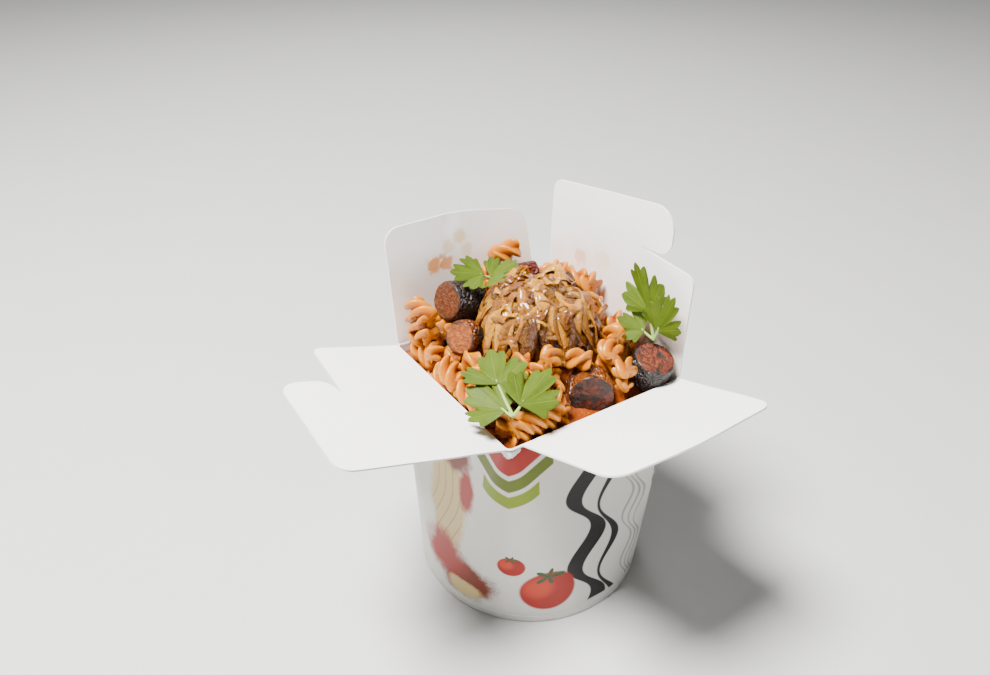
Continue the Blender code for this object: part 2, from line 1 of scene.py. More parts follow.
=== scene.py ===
"""Noodle takeaway box of white board, open and filled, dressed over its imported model."""

import math
import random

import bmesh
import bpy
from mathutils import Matrix, Vector, noise


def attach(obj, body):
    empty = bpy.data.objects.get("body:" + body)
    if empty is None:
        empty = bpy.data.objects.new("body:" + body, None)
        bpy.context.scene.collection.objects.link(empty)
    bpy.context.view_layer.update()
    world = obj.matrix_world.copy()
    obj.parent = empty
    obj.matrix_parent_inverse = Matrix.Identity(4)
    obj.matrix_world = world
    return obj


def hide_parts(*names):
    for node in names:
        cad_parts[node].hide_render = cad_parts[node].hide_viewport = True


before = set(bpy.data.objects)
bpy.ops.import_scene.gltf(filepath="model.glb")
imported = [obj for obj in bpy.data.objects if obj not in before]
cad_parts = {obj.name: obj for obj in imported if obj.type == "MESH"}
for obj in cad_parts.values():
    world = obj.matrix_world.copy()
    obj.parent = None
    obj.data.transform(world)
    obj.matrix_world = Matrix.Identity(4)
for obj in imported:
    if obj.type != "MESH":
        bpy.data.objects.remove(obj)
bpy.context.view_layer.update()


# The tub's wall
# One printed paperboard blank, rolled so that it is round at the foot and square at the rim.
# It is glued along a seam at the back corner and crimped over the base disc near the foot.

MM = 0.001
OPENING_SIDE = 86 * MM
BOX_HEIGHT = 103 * MM
FOOT_RADIUS = 50.5 * MM
FOOT_SQUARENESS = 0.03
RIM_CORNER_RADIUS = 2.5 * MM
BACK_CORNER_SHIFT = Vector((-5 * MM, 0))
BOARD = 0.7 * MM
GAP = 0.3 * MM
CORNER_STEPS = 24
WALL_TOP = 102.0 * MM
CRIMP_HEIGHT = 3.4 * MM
CRIMP_DEPTH = 0.16 * MM
SEAM_WIDTH = 11 * MM
SEAM_RAISE = 0.25 * MM
SEAM_BEVEL = 2 * MM
OUTER_SKIN = BOARD * 0.1
PRINT_UNIT = 0.1


def rim_corners():
    """The opening's corners, anticlockwise from the one between left and front."""
    half = OPENING_SIDE / 2
    corners = [Vector((sx * half, sy * half)) for sx, sy in ((-1, -1), (1, -1), (1, 1), (-1, 1))]
    corners[2] += BACK_CORNER_SHIFT
    return corners


def side_normal(side):
    """Outward direction of the side that runs from a corner to the next."""
    corners = rim_corners()
    along = corners[(side + 1) % 4] - corners[side]
    return Vector((along.y, -along.x)).normalized()


def box_section(height, inset):
    """Outline of the tub at a height, from the middle of the back corner round to it again."""
    square = FOOT_SQUARENESS + (1 - FOOT_SQUARENESS) * height / BOX_HEIGHT
    radius = (1 - square) * FOOT_RADIUS + square * RIM_CORNER_RADIUS - inset
    outline = []
    for k, corner in enumerate(rim_corners()):
        pull = [math.copysign(RIM_CORNER_RADIUS, part) for part in corner]
        centre = (corner - Vector(pull)) * square
        first = side_normal(k - 1)
        sweep = first.angle(side_normal(k))
        start = math.atan2(first.y, first.x)
        for i in range(CORNER_STEPS + 1):
            turn = start + sweep * i / CORNER_STEPS
            x, y = centre.x + radius * math.cos(turn), centre.y + radius * math.sin(turn)
            outline.append(Vector((x, y, height)))
    seam = 2 * (CORNER_STEPS + 1) + CORNER_STEPS // 2
    return outline[seam:] + outline[:seam]


def skin(bm, rings, looped=False):
    """Quads between neighbouring rings of points, with flat ends unless looped."""
    rows = [[bm.verts.new(point) for point in ring] for ring in rings]
    pairs = list(zip(rows, rows[1:]))
    if looped:
        pairs.append((rows[-1], rows[0]))
    for low, high in pairs:
        for i in range(len(low)):
            j = (i + 1) % len(low)
            bm.faces.new((low[i], low[j], high[j], high[i]))
    if not looped:
        bm.faces.new(list(reversed(rows[0])))
        bm.faces.new(rows[-1])


def marked_face(bm, layer, verts, marks, flip=False):
    """A face whose corners carry their places on a UV map."""
    if flip:
        verts, marks = verts[::-1], marks[::-1]
    face = bm.faces.new(verts)
    for loop, mark in zip(face.loops, marks):
        loop[layer].uv = mark
    return face


def make_piece(name, bm, body, *materials, sharp=35):
    """Turns a bmesh into an object that rides on a body and shades smoothly."""
    bmesh.ops.recalc_face_normals(bm, faces=bm.faces)
    mesh = bpy.data.meshes.new(name)
    bm.to_mesh(mesh)
    bm.free()
    for material in materials:
        mesh.materials.append(material)
    mesh.shade_smooth()
    mesh.set_sharp_from_angle(angle=math.radians(sharp))
    piece = bpy.data.objects.new(name, mesh)
    bpy.context.scene.collection.objects.link(piece)
    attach(piece, body)
    return piece


def new_finish(name):
    """An empty procedural material: its tree and its shader."""
    made = bpy.data.materials.new(name)
    made.use_nodes = True
    return made, made.node_tree, made.node_tree.nodes["Principled BSDF"]


def place_node(tree, kind, inputs=(), **settings):
    """Adds a node; inputs pairs each socket's name or number with a value or a linked socket."""
    made = tree.nodes.new(kind)
    for key, value in settings.items():
        setattr(made, key, value)
    for key, value in dict(inputs).items():
        if isinstance(value, bpy.types.NodeSocket):
            tree.links.new(value, made.inputs[key])
        else:
            made.inputs[key].default_value = value
    return made


def calc(tree, operation, *values):
    """One step of arithmetic on numbers or sockets."""
    return place_node(tree, "ShaderNodeMath", enumerate(values), operation=operation).outputs[0]


def total(tree, *parts):
    """Adds numbers or sockets up."""
    made = parts[0]
    for part in parts[1:]:
        made = calc(tree, "ADD", made, part)
    return made


def product(tree, *parts):
    """Multiplies numbers or sockets."""
    made = parts[0]
    for part in parts[1:]:
        made = calc(tree, "MULTIPLY", made, part)
    return made


def minus(tree, whole, part):
    """Takes one number or socket from another."""
    return calc(tree, "SUBTRACT", whole, part)


def blend_colours(tree, share, first, second):
    """Mixes two colours by a share."""
    made = place_node(tree, "ShaderNodeMix", {0: share}, data_type="RGBA")
    for index, value in ((6, first), (7, second)):
        if isinstance(value, bpy.types.NodeSocket):
            tree.links.new(value, made.inputs[index])
        else:
            made.inputs[index].default_value = (*value, 1)
    return made.outputs[2]


def step_between(tree, value, low, high):
    """Rises smoothly from 0 to 1 as a value goes from low to high."""
    made = place_node(tree, "ShaderNodeMapRange", {"Value": value, "From Min": low, "From Max": high},
                      interpolation_type="SMOOTHSTEP")
    return made.outputs[0]


def object_place(tree):
    """Where a point is on the object, in metres."""
    return place_node(tree, "ShaderNodeTexCoord").outputs["Object"]


def painted_place(tree, layer):
    """The two coordinates of a point on one of its piece's UV maps."""
    spot = place_node(tree, "ShaderNodeUVMap", uv_map=layer).outputs[0]
    parts = place_node(tree, "ShaderNodeSeparateXYZ", {0: spot}).outputs
    return parts[0], parts[1]


def speckle(tree, place, scale, detail=3, roughness=0.55):
    """Noise from 0 to 1, with so many bumps to the metre."""
    made = place_node(tree, "ShaderNodeTexNoise",
                      {"Vector": place, "Scale": scale, "Detail": detail, "Roughness": roughness})
    return made.outputs[0]


def finish_shader(tree, shader, colour, roughness, specular=0.5, coat=0.0, coat_roughness=0.03,
                  softness=0.0, soft_radius=None):
    """Sets a finish: colour and roughness, then gloss, clear coat and light that sinks in."""
    tree.links.new(colour, shader.inputs["Base Color"])
    if isinstance(roughness, bpy.types.NodeSocket):
        tree.links.new(roughness, shader.inputs["Roughness"])
    else:
        shader.inputs["Roughness"].default_value = roughness
    shader.inputs["Specular IOR Level"].default_value = specular
    shader.inputs["Coat Weight"].default_value = coat
    shader.inputs["Coat Roughness"].default_value = coat_roughness
    if softness:
        shader.inputs["Subsurface Weight"].default_value = softness
        shader.inputs["Subsurface Radius"].default_value = soft_radius
        shader.inputs["Subsurface Scale"].default_value = 1.0


def roughen(tree, shader, height, distance, strength):
    """Feeds a height to the shader as a bump."""
    bump = place_node(tree, "ShaderNodeBump", {"Height": height, "Distance": distance, "Strength": strength})
    tree.links.new(bump.outputs[0], shader.inputs["Normal"])


def paper_grain_group():
    """Pulp of the board: cloudy tone and a fine tooth, from a place and two colours."""
    group = bpy.data.node_groups.new("paper_grain", "ShaderNodeTree")
    for name, way, kind in (("Place", "INPUT", "Vector"), ("Light", "INPUT", "Color"),
                            ("Shade", "INPUT", "Color"), ("Colour", "OUTPUT", "Color"),
                            ("Tooth", "OUTPUT", "Float")):
        group.interface.new_socket(name=name, in_out=way, socket_type=f"NodeSocket{kind}")
    inside = group.nodes.new("NodeGroupInput").outputs
    outside = group.nodes.new("NodeGroupOutput").inputs
    cloud = speckle(group, inside["Place"], 90, 4)
    fibre = place_node(group, "ShaderNodeMapping", {"Vector": inside["Place"], "Scale": (1, 1, 3.5)})
    tooth = speckle(group, fibre.outputs[0], 2600, 2)
    share = total(group, product(group, cloud, 0.8), product(group, tooth, 0.2))
    group.links.new(blend_colours(group, share, inside["Light"], inside["Shade"]), outside["Colour"])
    group.links.new(tooth, outside["Tooth"])
    return group


PAPER_GRAIN = paper_grain_group()


def paper_grain(tree, light, shade):
    """The board's colour and its tooth."""
    made = place_node(tree, "ShaderNodeGroup", node_tree=PAPER_GRAIN)
    tree.links.new(object_place(tree), made.inputs["Place"])
    made.inputs["Light"].default_value = (*light, 1)
    made.inputs["Shade"].default_value = (*shade, 1)
    return made.outputs["Colour"], made.outputs["Tooth"]


INK_RED = (0.33, 0.010, 0.004)
INK_OLIVE = (0.105, 0.140, 0.002)
INK_LEAF = (0.20, 0.28, 0.004)
INK_BLACK = (0.002, 0.002, 0.002)
INK_GREY = (0.34, 0.34, 0.33)
INK_CREAM = (0.60, 0.46, 0.20)
INK_BROWN = (0.16, 0.024, 0.008)
INK_STALK = (0.03, 0.07, 0.015)
INK_BRIGHT = (0.55, 0.040, 0.014)
INK_SMEAR = (0.45, 0.24, 0.19)
PRINT_START = -0.55
PRINT_REPEAT = 1.60


def printed_board():
    """Coated white board, its white darkened as painted shade, with plain bands, strands and round fruit in
    ink.
    """
    made, tree, shader = new_finish("printed_board")
    # painted shade: the board's white is darkened to grey-beige because the wall stands in shade
    base, tooth = paper_grain(tree, (0.71, 0.705, 0.65), (0.63, 0.625, 0.57))
    across, up = painted_place(tree, "print")
    across = calc(tree, "WRAP", across, PRINT_START + PRINT_REPEAT, PRINT_START)
    flat = place_node(tree, "ShaderNodeCombineXYZ", {0: across, 1: up}).outputs[0]
    colour = base

    def ink(mask, tone):
        nonlocal colour
        colour = blend_colours(tree, mask, colour, tone)

    def between(value, low, high, soft=0.004):
        return product(tree, step_between(tree, value, low - soft, low + soft),
                       step_between(tree, value, high + soft, high - soft))

    def oval(middle_across, middle_up, half_wide, half_high):
        x = calc(tree, "DIVIDE", minus(tree, across, middle_across), half_wide)
        y = calc(tree, "DIVIDE", minus(tree, up, middle_up), half_high)
        return calc(tree, "SQRT", total(tree, product(tree, x, x), product(tree, y, y))), x, y

    # nested bands that dip at the front corner
    drop = minus(tree, up, product(tree, calc(tree, "ABSOLUTE", across), 0.42))
    for low, high, reach, tone in ((0.71, 0.775, 0.13, INK_LEAF), (0.80, 0.865, 0.20, INK_OLIVE),
                                   (0.89, 1.1, 0.26, INK_RED)):
        ink(product(tree, between(drop, low, high), between(across, -reach, reach)), tone)

    # a bold wavy strand, a slim one, and three fine grey ones beside them
    for middle, swing, rate, phase, half, tone in (
            (0.36, 0.060, 17, 0, 0.042, INK_BLACK), (0.47, 0.045, 17, 1.3, 0.014, INK_BLACK),
            (0.585, 0.03, 24, 0.5, 0.006, INK_GREY), (0.62, 0.03, 24, 1.0, 0.006, INK_GREY),
            (0.655, 0.03, 24, 1.5, 0.006, INK_GREY)):
        wave = calc(tree, "SINE", total(tree, product(tree, up, rate), phase))
        off = calc(tree, "ABSOLUTE", minus(tree, across, total(tree, product(tree, wave, swing), middle)))
        swell = total(tree, half, product(tree, calc(tree, "COSINE", product(tree, up, rate)), half * 0.45))
        strand = step_between(tree, minus(tree, off, swell), 0.004, -0.004)
        ink(product(tree, strand, between(up, 0.06, 0.93)), tone)

    # a column of small black grains
    row = minus(tree, product(tree, calc(tree, "FRACT", product(tree, up, 16)), 2), 1)
    side = calc(tree, "DIVIDE", minus(tree, across, 0.77), 0.017)
    grain = total(tree, product(tree, row, row), product(tree, side, side))
    ink(product(tree, step_between(tree, grain, 0.75, 0.55), between(up, 0.50, 0.875)), INK_BLACK)

    # round red fruit, brighter to one side, with a green star
    for middle_across, middle_up, size in ((0.17, 0.20, 0.125), (0.01, 0.36, 0.06)):
        reach, x, y = oval(middle_across, middle_up, size, size * 0.94)
        fruit = step_between(tree, reach, 1.06, 0.94)
        ink(fruit, INK_RED)
        glow = total(tree, calc(tree, "POWER", total(tree, x, 0.35), 2),
                     calc(tree, "POWER", minus(tree, y, 0.2), 2))
        ink(product(tree, fruit, step_between(tree, glow, 0.5, 0.0)), INK_BRIGHT)
        high_y = minus(tree, y, 0.78)
        turn = calc(tree, "ARCTAN2", high_y, x)
        spread = total(tree, product(tree, x, x), product(tree, high_y, high_y, 2.2))
        point = total(tree, 0.34, product(tree, calc(tree, "COSINE", product(tree, turn, 5)), 0.26))
        ink(step_between(tree, minus(tree, calc(tree, "SQRT", spread), point), 0.03, -0.03), INK_STALK)

    # soft fields of warm colour, crossed by strands, on the left
    ragged = speckle(tree, flat, 9, 5, 0.7)
    for middle_across, middle_up, wide, high, tone, soft in (
            (-0.37, 0.52, 0.15, 0.30, INK_CREAM, 0.25), (-0.35, 0.80, 0.13, 0.12, INK_BROWN, 0.35),
            (-0.24, 0.66, 0.06, 0.12, INK_RED, 0.4), (-0.22, 0.17, 0.17, 0.12, INK_BROWN, 0.4),
            (-0.36, 0.22, 0.16, 0.13, INK_RED, 0.5), (-0.22, 0.11, 0.10, 0.05, INK_CREAM, 0.3)):
        reach, _, _ = oval(middle_across, middle_up, wide, high)
        torn = total(tree, reach, product(tree, minus(tree, ragged, 0.5), 1.1))
        ink(step_between(tree, torn, 1 + soft * 0.4, 1 - soft), tone)
    sway = product(tree, calc(tree, "SINE", product(tree, up, 8)), 3.5)
    bent = calc(tree, "SINE", total(tree, product(tree, across, 55), sway))
    thread = step_between(tree, calc(tree, "ABSOLUTE", bent), 0.25, 0.05)
    reach, _, _ = oval(-0.37, 0.50, 0.14, 0.30)
    field = step_between(tree, total(tree, reach, minus(tree, ragged, 0.5)), 1, 0.7)
    ink(product(tree, thread, field, 0.55), INK_BROWN)
    smear = step_between(tree, total(tree, ragged, up), 1.15, 1.35)
    ink(product(tree, between(across, 0.93, 1.02, 0.02), smear), INK_SMEAR)

    # no ink below the crimp
    colour = blend_colours(tree, step_between(tree, up, 0.028, 0.034), base, colour)
    finish_shader(tree, shader, colour, 0.45, specular=0.3)
    roughen(tree, shader, tooth, 0.00003, 0.35)
    return made


def plain_board(name, light, shade, roughness):
    """Bare board: the inside of the blank and its cut edges."""
    made, tree, shader = new_finish(name)
    colour, tooth = paper_grain(tree, light, shade)
    finish_shader(tree, shader, colour, roughness)
    roughen(tree, shader, tooth, 0.00005, 0.5)
    return made


PRINTED = printed_board()
EDGE_BOARD = plain_board("board_edge", (0.90, 0.895, 0.88), (0.84, 0.83, 0.81), 0.75)


def wall_profile():
    """Height and inset of each ring: up the outside, over the top, down the inside."""
    outside = [(0, 0.0002), (0.0003, 0.00004), (0.0012, 0)]
    outside += [(CRIMP_HEIGHT - 0.0006, 0), (CRIMP_HEIGHT, CRIMP_DEPTH), (CRIMP_HEIGHT + 0.0006, 0)]
    count = 24
    outside += [(0.006 + (WALL_TOP - 0.0066) * i / count, 0) for i in range(count + 1)]
    over = [(WALL_TOP - 0.0001, BOARD * 0.2), (WALL_TOP, BOARD * 0.5), (WALL_TOP - 0.0001, BOARD * 0.8)]
    inside = [(WALL_TOP - 0.0006, BOARD), (WALL_TOP * 0.75, BOARD), (WALL_TOP * 0.4, BOARD), (0.0002, BOARD)]
    return outside + over + inside


def tub_shell():
    """The wall, with the print's places on its outside and a lapped seam at the back."""
    profile = wall_profile()
    bm = bmesh.new()
    print_map = bm.loops.layers.uv.new("print")
    rows, places = [], []
    for height, inset in profile:
        ring = box_section(height, inset)
        lengths = [0.0]
        for a, b in zip(ring, ring[1:] + ring[:1]):
            lengths.append(lengths[-1] + (b - a).length)
        if inset < OUTER_SKIN:
            for i, point in enumerate(ring):
                along = lengths[i] if i < len(ring) / 2 else lengths[i] - lengths[-1]
                if 0 <= along < SEAM_WIDTH:
                    out = Vector((point.x, point.y, 0)).normalized()
                    ring[i] = point + out * SEAM_RAISE * min(1, (SEAM_WIDTH - along) / SEAM_BEVEL)
        front = lengths[len(ring) // 2]
        rows.append([bm.verts.new(point) for point in ring])
        places.append([((length - front) / PRINT_UNIT, height / PRINT_UNIT) for length in lengths])
    for k, (_, inset) in enumerate(profile):
        after = (k + 1) % len(rows)
        low, high = rows[k], rows[after]
        for i in range(len(low)):
            j = (i + 1) % len(low)
            face = marked_face(bm, print_map, (low[i], low[j], high[j], high[i]),
                               (places[k][i], places[k][i + 1], places[after][i + 1], places[after][i]))
            face.material_index = 0 if inset < OUTER_SKIN else 1
    shell = make_piece("tub_shell", bm, "tub", PRINTED, EDGE_BOARD, sharp=50)
    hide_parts("tub_wall")


tub_shell()


# The base disc
# A separate round of the same board, pressed into the wall's foot and held by the crimp.
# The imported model's own solid is kept, because the contents hide all but its underside.

base_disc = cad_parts["tub_base"]
base_disc.data.materials.clear()
base_disc.data.materials.append(EDGE_BOARD)


# The lid flaps and their creases
# Four tabs of the same blank: two hooked outer lids at left and right, two plain inner ones.
# They are creased along the rim, printed side out, and stained by the sauce near the food.

LEAN = {"left": 16.8, "front": 18.8, "right": 88.9, "back": 79.8}
FOLD_START = 0.45 * MM
SIDE_CLEARANCE = 0.6 * MM
FLAP_ARC_STEP = math.radians(7)
FLAP_GRID = 4 * MM
BOARD_WAVE = 0.25 * MM
FOLD_TILT = 0.055
FOLD_DEPTH = 0.5 * MM
FOLD_WIDTH = 0.8 * MM
WARM_TINT = (0.78, 0.50, 0.33)
CREASE_SECTION = [(0.42, 0), (0.3, 0.3), (0, 0.42), (-0.3, 0.3), (-0.42, 0), (-0.58, -0.45),
                  (-0.6, -1.1), (-0.3, -1.1), (-0.28, -0.6), (0, -0.42)]


def rounded(points):
    """An outline from corners (u, v, radius), each turned into an arc."""
    outline = []
    for i, (u, v, radius) in enumerate(points):
        here = Vector((u, v))
        if radius == 0:
            outline.append(here)
            continue
        back = (Vector(points[i - 1][:2]) - here).normalized()
        ahead = (Vector(points[(i + 1) % len(points)][:2]) - here).normalized()
        corner = back.angle(ahead)
        centre = here + (back + ahead).normalized() * radius / math.sin(corner / 2)
        first = here + back * radius / math.tan(corner / 2) - centre
        last = here + ahead * radius / math.tan(corner / 2) - centre
        sweep = first.angle_signed(last)
        steps = max(1, math.ceil(abs(sweep) / FLAP_ARC_STEP))
        for k in range(steps + 1):
            outline.append(centre + Matrix.Rotation(-sweep * k / steps, 2) @ first)
    return outline


def hooked_outline(width, crown, shoulder, tongue, notch, heel):
    """Outer lid: full at one side, with a hooked tongue over a notch at the other."""
    edge = SIDE_CLEARANCE
    return rounded([
        (edge, FOLD_START, 0),
        (edge, crown, 6 * MM),
        (tongue, shoulder, 9 * MM),
        (tongue + 0.5 * MM, notch[1] + 1.5 * MM, 7 * MM),
        (notch[0], notch[1] + 0.4 * MM, 0),
        (notch[0], notch[1], 0),
        (width - edge, heel, 4 * MM),
        (width - edge, FOLD_START, 0),
    ])


def plain_outline(width, near, middle, far, far_width):
    """Inner lid: a tapering tab with round corners and a bowed top edge."""
    edge = SIDE_CLEARANCE
    return rounded([
        (edge, FOLD_START, 0),
        (edge, near, 7 * MM),
        (width * 0.48, middle, 90 * MM),
        (far_width - 3 * MM, far, 9 * MM),
        (far_width, FOLD_START, 0),
    ])


def stained_board(name, stains, tint_height):
    """The flaps' inner face: pale board, its white raised as painted light, orange where sauce touched it."""
    made, tree, shader = new_finish(name)
    # painted light: the inner board's white is raised near full brightness to stand in for the bright light
    # on the lids
    colour, tooth = paper_grain(tree, (0.97, 0.965, 0.955), (0.93, 0.92, 0.90))
    place = object_place(tree)
    height = place_node(tree, "ShaderNodeSeparateXYZ", {0: place}).outputs[2]
    level = total(tree, height, product(tree, minus(tree, speckle(tree, place, 70, 4), 0.5), 0.03))
    warm = product(tree, step_between(tree, level, tint_height, tint_height - 0.03), 0.42)
    colour = blend_colours(tree, warm, colour, WARM_TINT)
    wet = 0
    for spot, size, strength, tone in stains:
        apart = place_node(tree, "ShaderNodeVectorMath", {0: place, 1: spot}, operation="DISTANCE")
        away = apart.outputs["Value"]
        fray = product(tree, minus(tree, speckle(tree, place, 320, 4), 0.5), size * 1.6)
        mask = product(tree, step_between(tree, total(tree, away, fray), size, size * 0.55), strength)
        colour = blend_colours(tree, mask, colour, tone)
        wet = calc(tree, "MAXIMUM", wet, mask)
    finish_shader(tree, shader, colour, minus(tree, 0.55, product(tree, wet, 0.3)) if stains else 0.55)
    roughen(tree, shader, tooth, 0.00004, 0.4)
    return made


SAUCE_STAIN = (0.75, 0.28, 0.05)
FAINT_STAIN = (0.80, 0.58, 0.30)
BACK_STAINS = [
    (Vector((-6, 49, 143)) * MM, 4.5 * MM, 0.75, FAINT_STAIN),
    (Vector((0, 49, 147)) * MM, 2.2 * MM, 0.75, SAUCE_STAIN),
    (Vector((3, 49, 145)) * MM, 1.6 * MM, 0.7, SAUCE_STAIN),
    (Vector((-12, 48, 139)) * MM, 4 * MM, 0.6, FAINT_STAIN),
    (Vector((-20, 47.5, 134)) * MM, 5 * MM, 0.9, SAUCE_STAIN),
    (Vector((-14, 47.5, 133)) * MM, 4.5 * MM, 0.85, SAUCE_STAIN),
    (Vector((-3, 48, 136)) * MM, 4 * MM, 0.55, FAINT_STAIN),
]
RIGHT_STAINS = [
    (Vector((39, -20, 126)) * MM, 5 * MM, 0.5, (0.50, 0.42, 0.16)),
    (Vector((39, 8, 136)) * MM, 6 * MM, 0.35, FAINT_STAIN),
    (Vector((38, 22, 133)) * MM, 5 * MM, 0.45, SAUCE_STAIN),
]
FLAP_INSIDE = {
    "left": stained_board("left_lid_inside", [], 0.100),
    "front": stained_board("front_lid_inside", [], 0.100),
    "right": stained_board("right_lid_inside", RIGHT_STAINS, 0.150),
    "back": stained_board("back_lid_inside", BACK_STAINS, 0.150),
}
FLAP_OUTSIDE = plain_board("lid_outside", (0.80, 0.79, 0.755), (0.74, 0.73, 0.69), 0.4)


def flap_frame(side, lean):
    """Along the crease, away from it, and towards the food."""
    corners = rim_corners()
    start = corners[(side + 1) % 4].to_3d() + Vector((0, 0, BOX_HEIGHT))
    along = (corners[side] - corners[(side + 1) % 4]).normalized().to_3d()
    outward = side_normal(side).to_3d() * math.cos(lean) + Vector((0, 0, 1)) * math.sin(lean)
    frame_matrix = Matrix((along, outward, along.cross(outward))).transposed().to_4x4()
    frame_matrix.translation = start
    return frame_matrix


def dress_flap(node, side, where, outline, curl, fold=None):
    """A board cut to its outline, gently curled, with a bright cut edge."""
    bm = bmesh.new()
    bm.faces.new([bm.verts.new((u, v, 0)) for u, v in outline])
    bmesh.ops.triangulate(bm, faces=bm.faces)
    wide, high = max(u for u, _ in outline), max(v for _, v in outline)
    for axis, reach in ((Vector((1, 0, 0)), wide), (Vector((0, 1, 0)), high)):
        for k in range(1, math.ceil(reach / FLAP_GRID)):
            bmesh.ops.bisect_plane(bm, geom=bm.verts[:] + bm.edges[:] + bm.faces[:],
                                   plane_co=axis * k * FLAP_GRID, plane_no=axis)
    for vert in bm.verts:
        u, v = vert.co.x, vert.co.y
        lift = curl * (v / high) ** 2 * math.sin(math.pi * (0.15 + 0.7 * u / wide))
        lift += BOARD_WAVE * noise.noise(Vector((u, v, side)) * 45) * min(1, v / (10 * MM))
        if fold:
            off = u - fold[0] - (v - high) * fold[1]
            free = min(1, v / high * 1.4)
            lift += free * (FOLD_TILT * max(-off, 0) - FOLD_DEPTH * math.exp(-(off / FOLD_WIDTH) ** 2))
        vert.co.z = lift
    upper = bmesh.ops.duplicate(bm, geom=bm.verts[:] + bm.edges[:] + bm.faces[:])["geom"]
    copied = [item for item in upper if isinstance(item, bmesh.types.BMVert)]
    lower_faces = [face for face in bm.faces if face not in set(upper)]
    borders = [edge for edge in bm.edges if edge.is_boundary]
    bmesh.ops.translate(bm, verts=copied, vec=(0, 0, BOARD / 2))
    bmesh.ops.translate(bm, verts=[v for v in bm.verts if v not in set(copied)], vec=(0, 0, -BOARD / 2))
    rim = bmesh.ops.bridge_loops(bm, edges=borders)["faces"]
    for faces, finish in ((bm.faces, 0), (lower_faces, 1), (rim, 2)):
        for face in faces:
            face.material_index = finish
    bm.transform(flap_frame(side, math.radians(LEAN[where])))
    lid = make_piece(f"{where}_lid_board", bm, f"{where}_lid", FLAP_INSIDE[where], FLAP_OUTSIDE, EDGE_BOARD)
    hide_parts(node)


SIDE_LENGTHS = [(rim_corners()[(k + 1) % 4] - rim_corners()[k]).length for k in range(4)]
FRONT, RIGHT, BACK, LEFT = range(4)
dress_flap("flap_left", LEFT, "left", hooked_outline(
    SIDE_LENGTHS[LEFT], crown=69 * MM, shoulder=66.5 * MM, tongue=58.5 * MM, notch=(48.4 * MM, 44.2 * MM),
    heel=40.5 * MM), curl=0.9 * MM)
dress_flap("flap_right", RIGHT, "right", hooked_outline(
    SIDE_LENGTHS[RIGHT], crown=59.5 * MM, shoulder=70 * MM, tongue=71.5 * MM, notch=(56 * MM, 48 * MM),
    heel=46 * MM), curl=-0.7 * MM)
dress_flap("flap_front", FRONT, "front", plain_outline(
    SIDE_LENGTHS[FRONT], near=49.5 * MM, middle=54 * MM, far=50.5 * MM, far_width=79.6 * MM), curl=0.8 * MM)
dress_flap("flap_back", BACK, "back", plain_outline(
    SIDE_LENGTHS[BACK], near=52 * MM, middle=51.5 * MM, far=45 * MM, far_width=75 * MM), curl=-0.6 * MM,
    fold=(32 * MM, 0.05))


def rim_crease():
    """The bent board along the four folds and round the corners, as one slim bead."""
    outline = box_section(BOX_HEIGHT, 0)
    rings = []
    for i, point in enumerate(outline):
        along = (outline[(i + 1) % len(outline)] - outline[i - 1]).normalized()
        out = Vector((along.y, -along.x, 0))
        rings.append([point + (out * u + Vector((0, 0, v))) * MM for u, v in CREASE_SECTION])
    bm = bmesh.new()
    skin(bm, rings, looped=True)
    bead = make_piece("rim_crease", bm, "tub", EDGE_BOARD, sharp=60)


rim_crease()


LIP_TOP = 101.9 * MM


def frayed_lip():
    """Torn web of board at the front corner, where the two creases meet."""
    draw = random.Random(3)
    corner = rim_corners()[0]
    centre = corner + Vector((RIM_CORNER_RADIUS, RIM_CORNER_RADIUS))
    path = [corner + Vector((0, 5.5 * MM - i * 0.5 * MM)) for i in range(6)]
    path += [centre + Vector((math.cos(a), math.sin(a))) * RIM_CORNER_RADIUS
             for a in (math.pi + math.pi / 2 * i / 12 for i in range(13))]
    path += [corner + Vector((3.0 * MM + i * 0.5 * MM, 0)) for i in range(6)]
    rings = []
    for i, point in enumerate(path):
        out = (point - centre).normalized()
        share = i / (len(path) - 1)
        hang = (1.0 + 2.0 * math.sin(math.pi * share) + draw.uniform(-0.35, 0.35)) * MM
        rings.append([
            (point + out * stand * MM).to_3d() + Vector((0, 0, LIP_TOP - hang * share_down))
            for stand, share_down in ((0.02, 0), (0.15, 0.12), (0.30, 0.5), (0.26, 1.0), (0.03, 0.96))
        ])
    bm = bmesh.new()
    skin(bm, rings)
    lip = make_piece("frayed_corner", bm, "tub", EDGE_BOARD)


frayed_lip()


# The pasta
# Short three-bladed spirals in tomato sauce, heaped to the rim and up against two lids.
# The ones that show lie on a mass of the same, and stop short of what is laid on top.

BASE_BOARD = 0.9 * MM
EDGE_LEVEL = 102 * MM
HEAP_RISE = 17 * MM
RISE_RUN = 40 * MM
CORE_SINK = 3.2 * MM
OVERHANG = 2.2 * MM
BED_ROWS = 26
SPIRAL_RADIUS = 5.3 * MM
SPIRAL_WAIST = 2.0 * MM
SPIRAL_TURN = 19 * MM
SPIRAL_STEP = 0.85 * MM
SPIRAL_SIDES = 30
FIT_STEP = 1.0 * MM
FIT_GAP = 0.3 * MM
SHORTEST = 6 * MM
FILL_REACH = 39 * MM
FILLS = [
    (1200, 1.0, 5.0, -2, 4, 0.95),
    (1800, 0.95, 4.5, -4, 3, 0.8),
    (2600, 0.86, 4.1, -5, 5, 0.6),
]
FACE_ROOM = 14 * MM
BANK_TRIES = 260
BANK_GIRTH = 0.95
BANK_SPACING = 4.4 * MM
BANK_EASE = 0.7
BANK_INSET = 6.3 * MM
BED_BANK = 2.0
HEAP_SEED = 5
# darkest pasta colour, for the grooves: sauce pooled there, and painted shade
PASTA_GROOVE_SAUCE_AND_SHADE = (0.20, 0.027, 0.0)
PASTA_SAUCED = (0.42, 0.108, 0.0)
PASTA_RIDGE = (0.56, 0.222, 0.003)
PASTA_SPECK = (0.28, 0.040, 0.002)
PASTA_PALE = (0.48, 0.168, 0.001)
CUT_END_MARK = 0.75
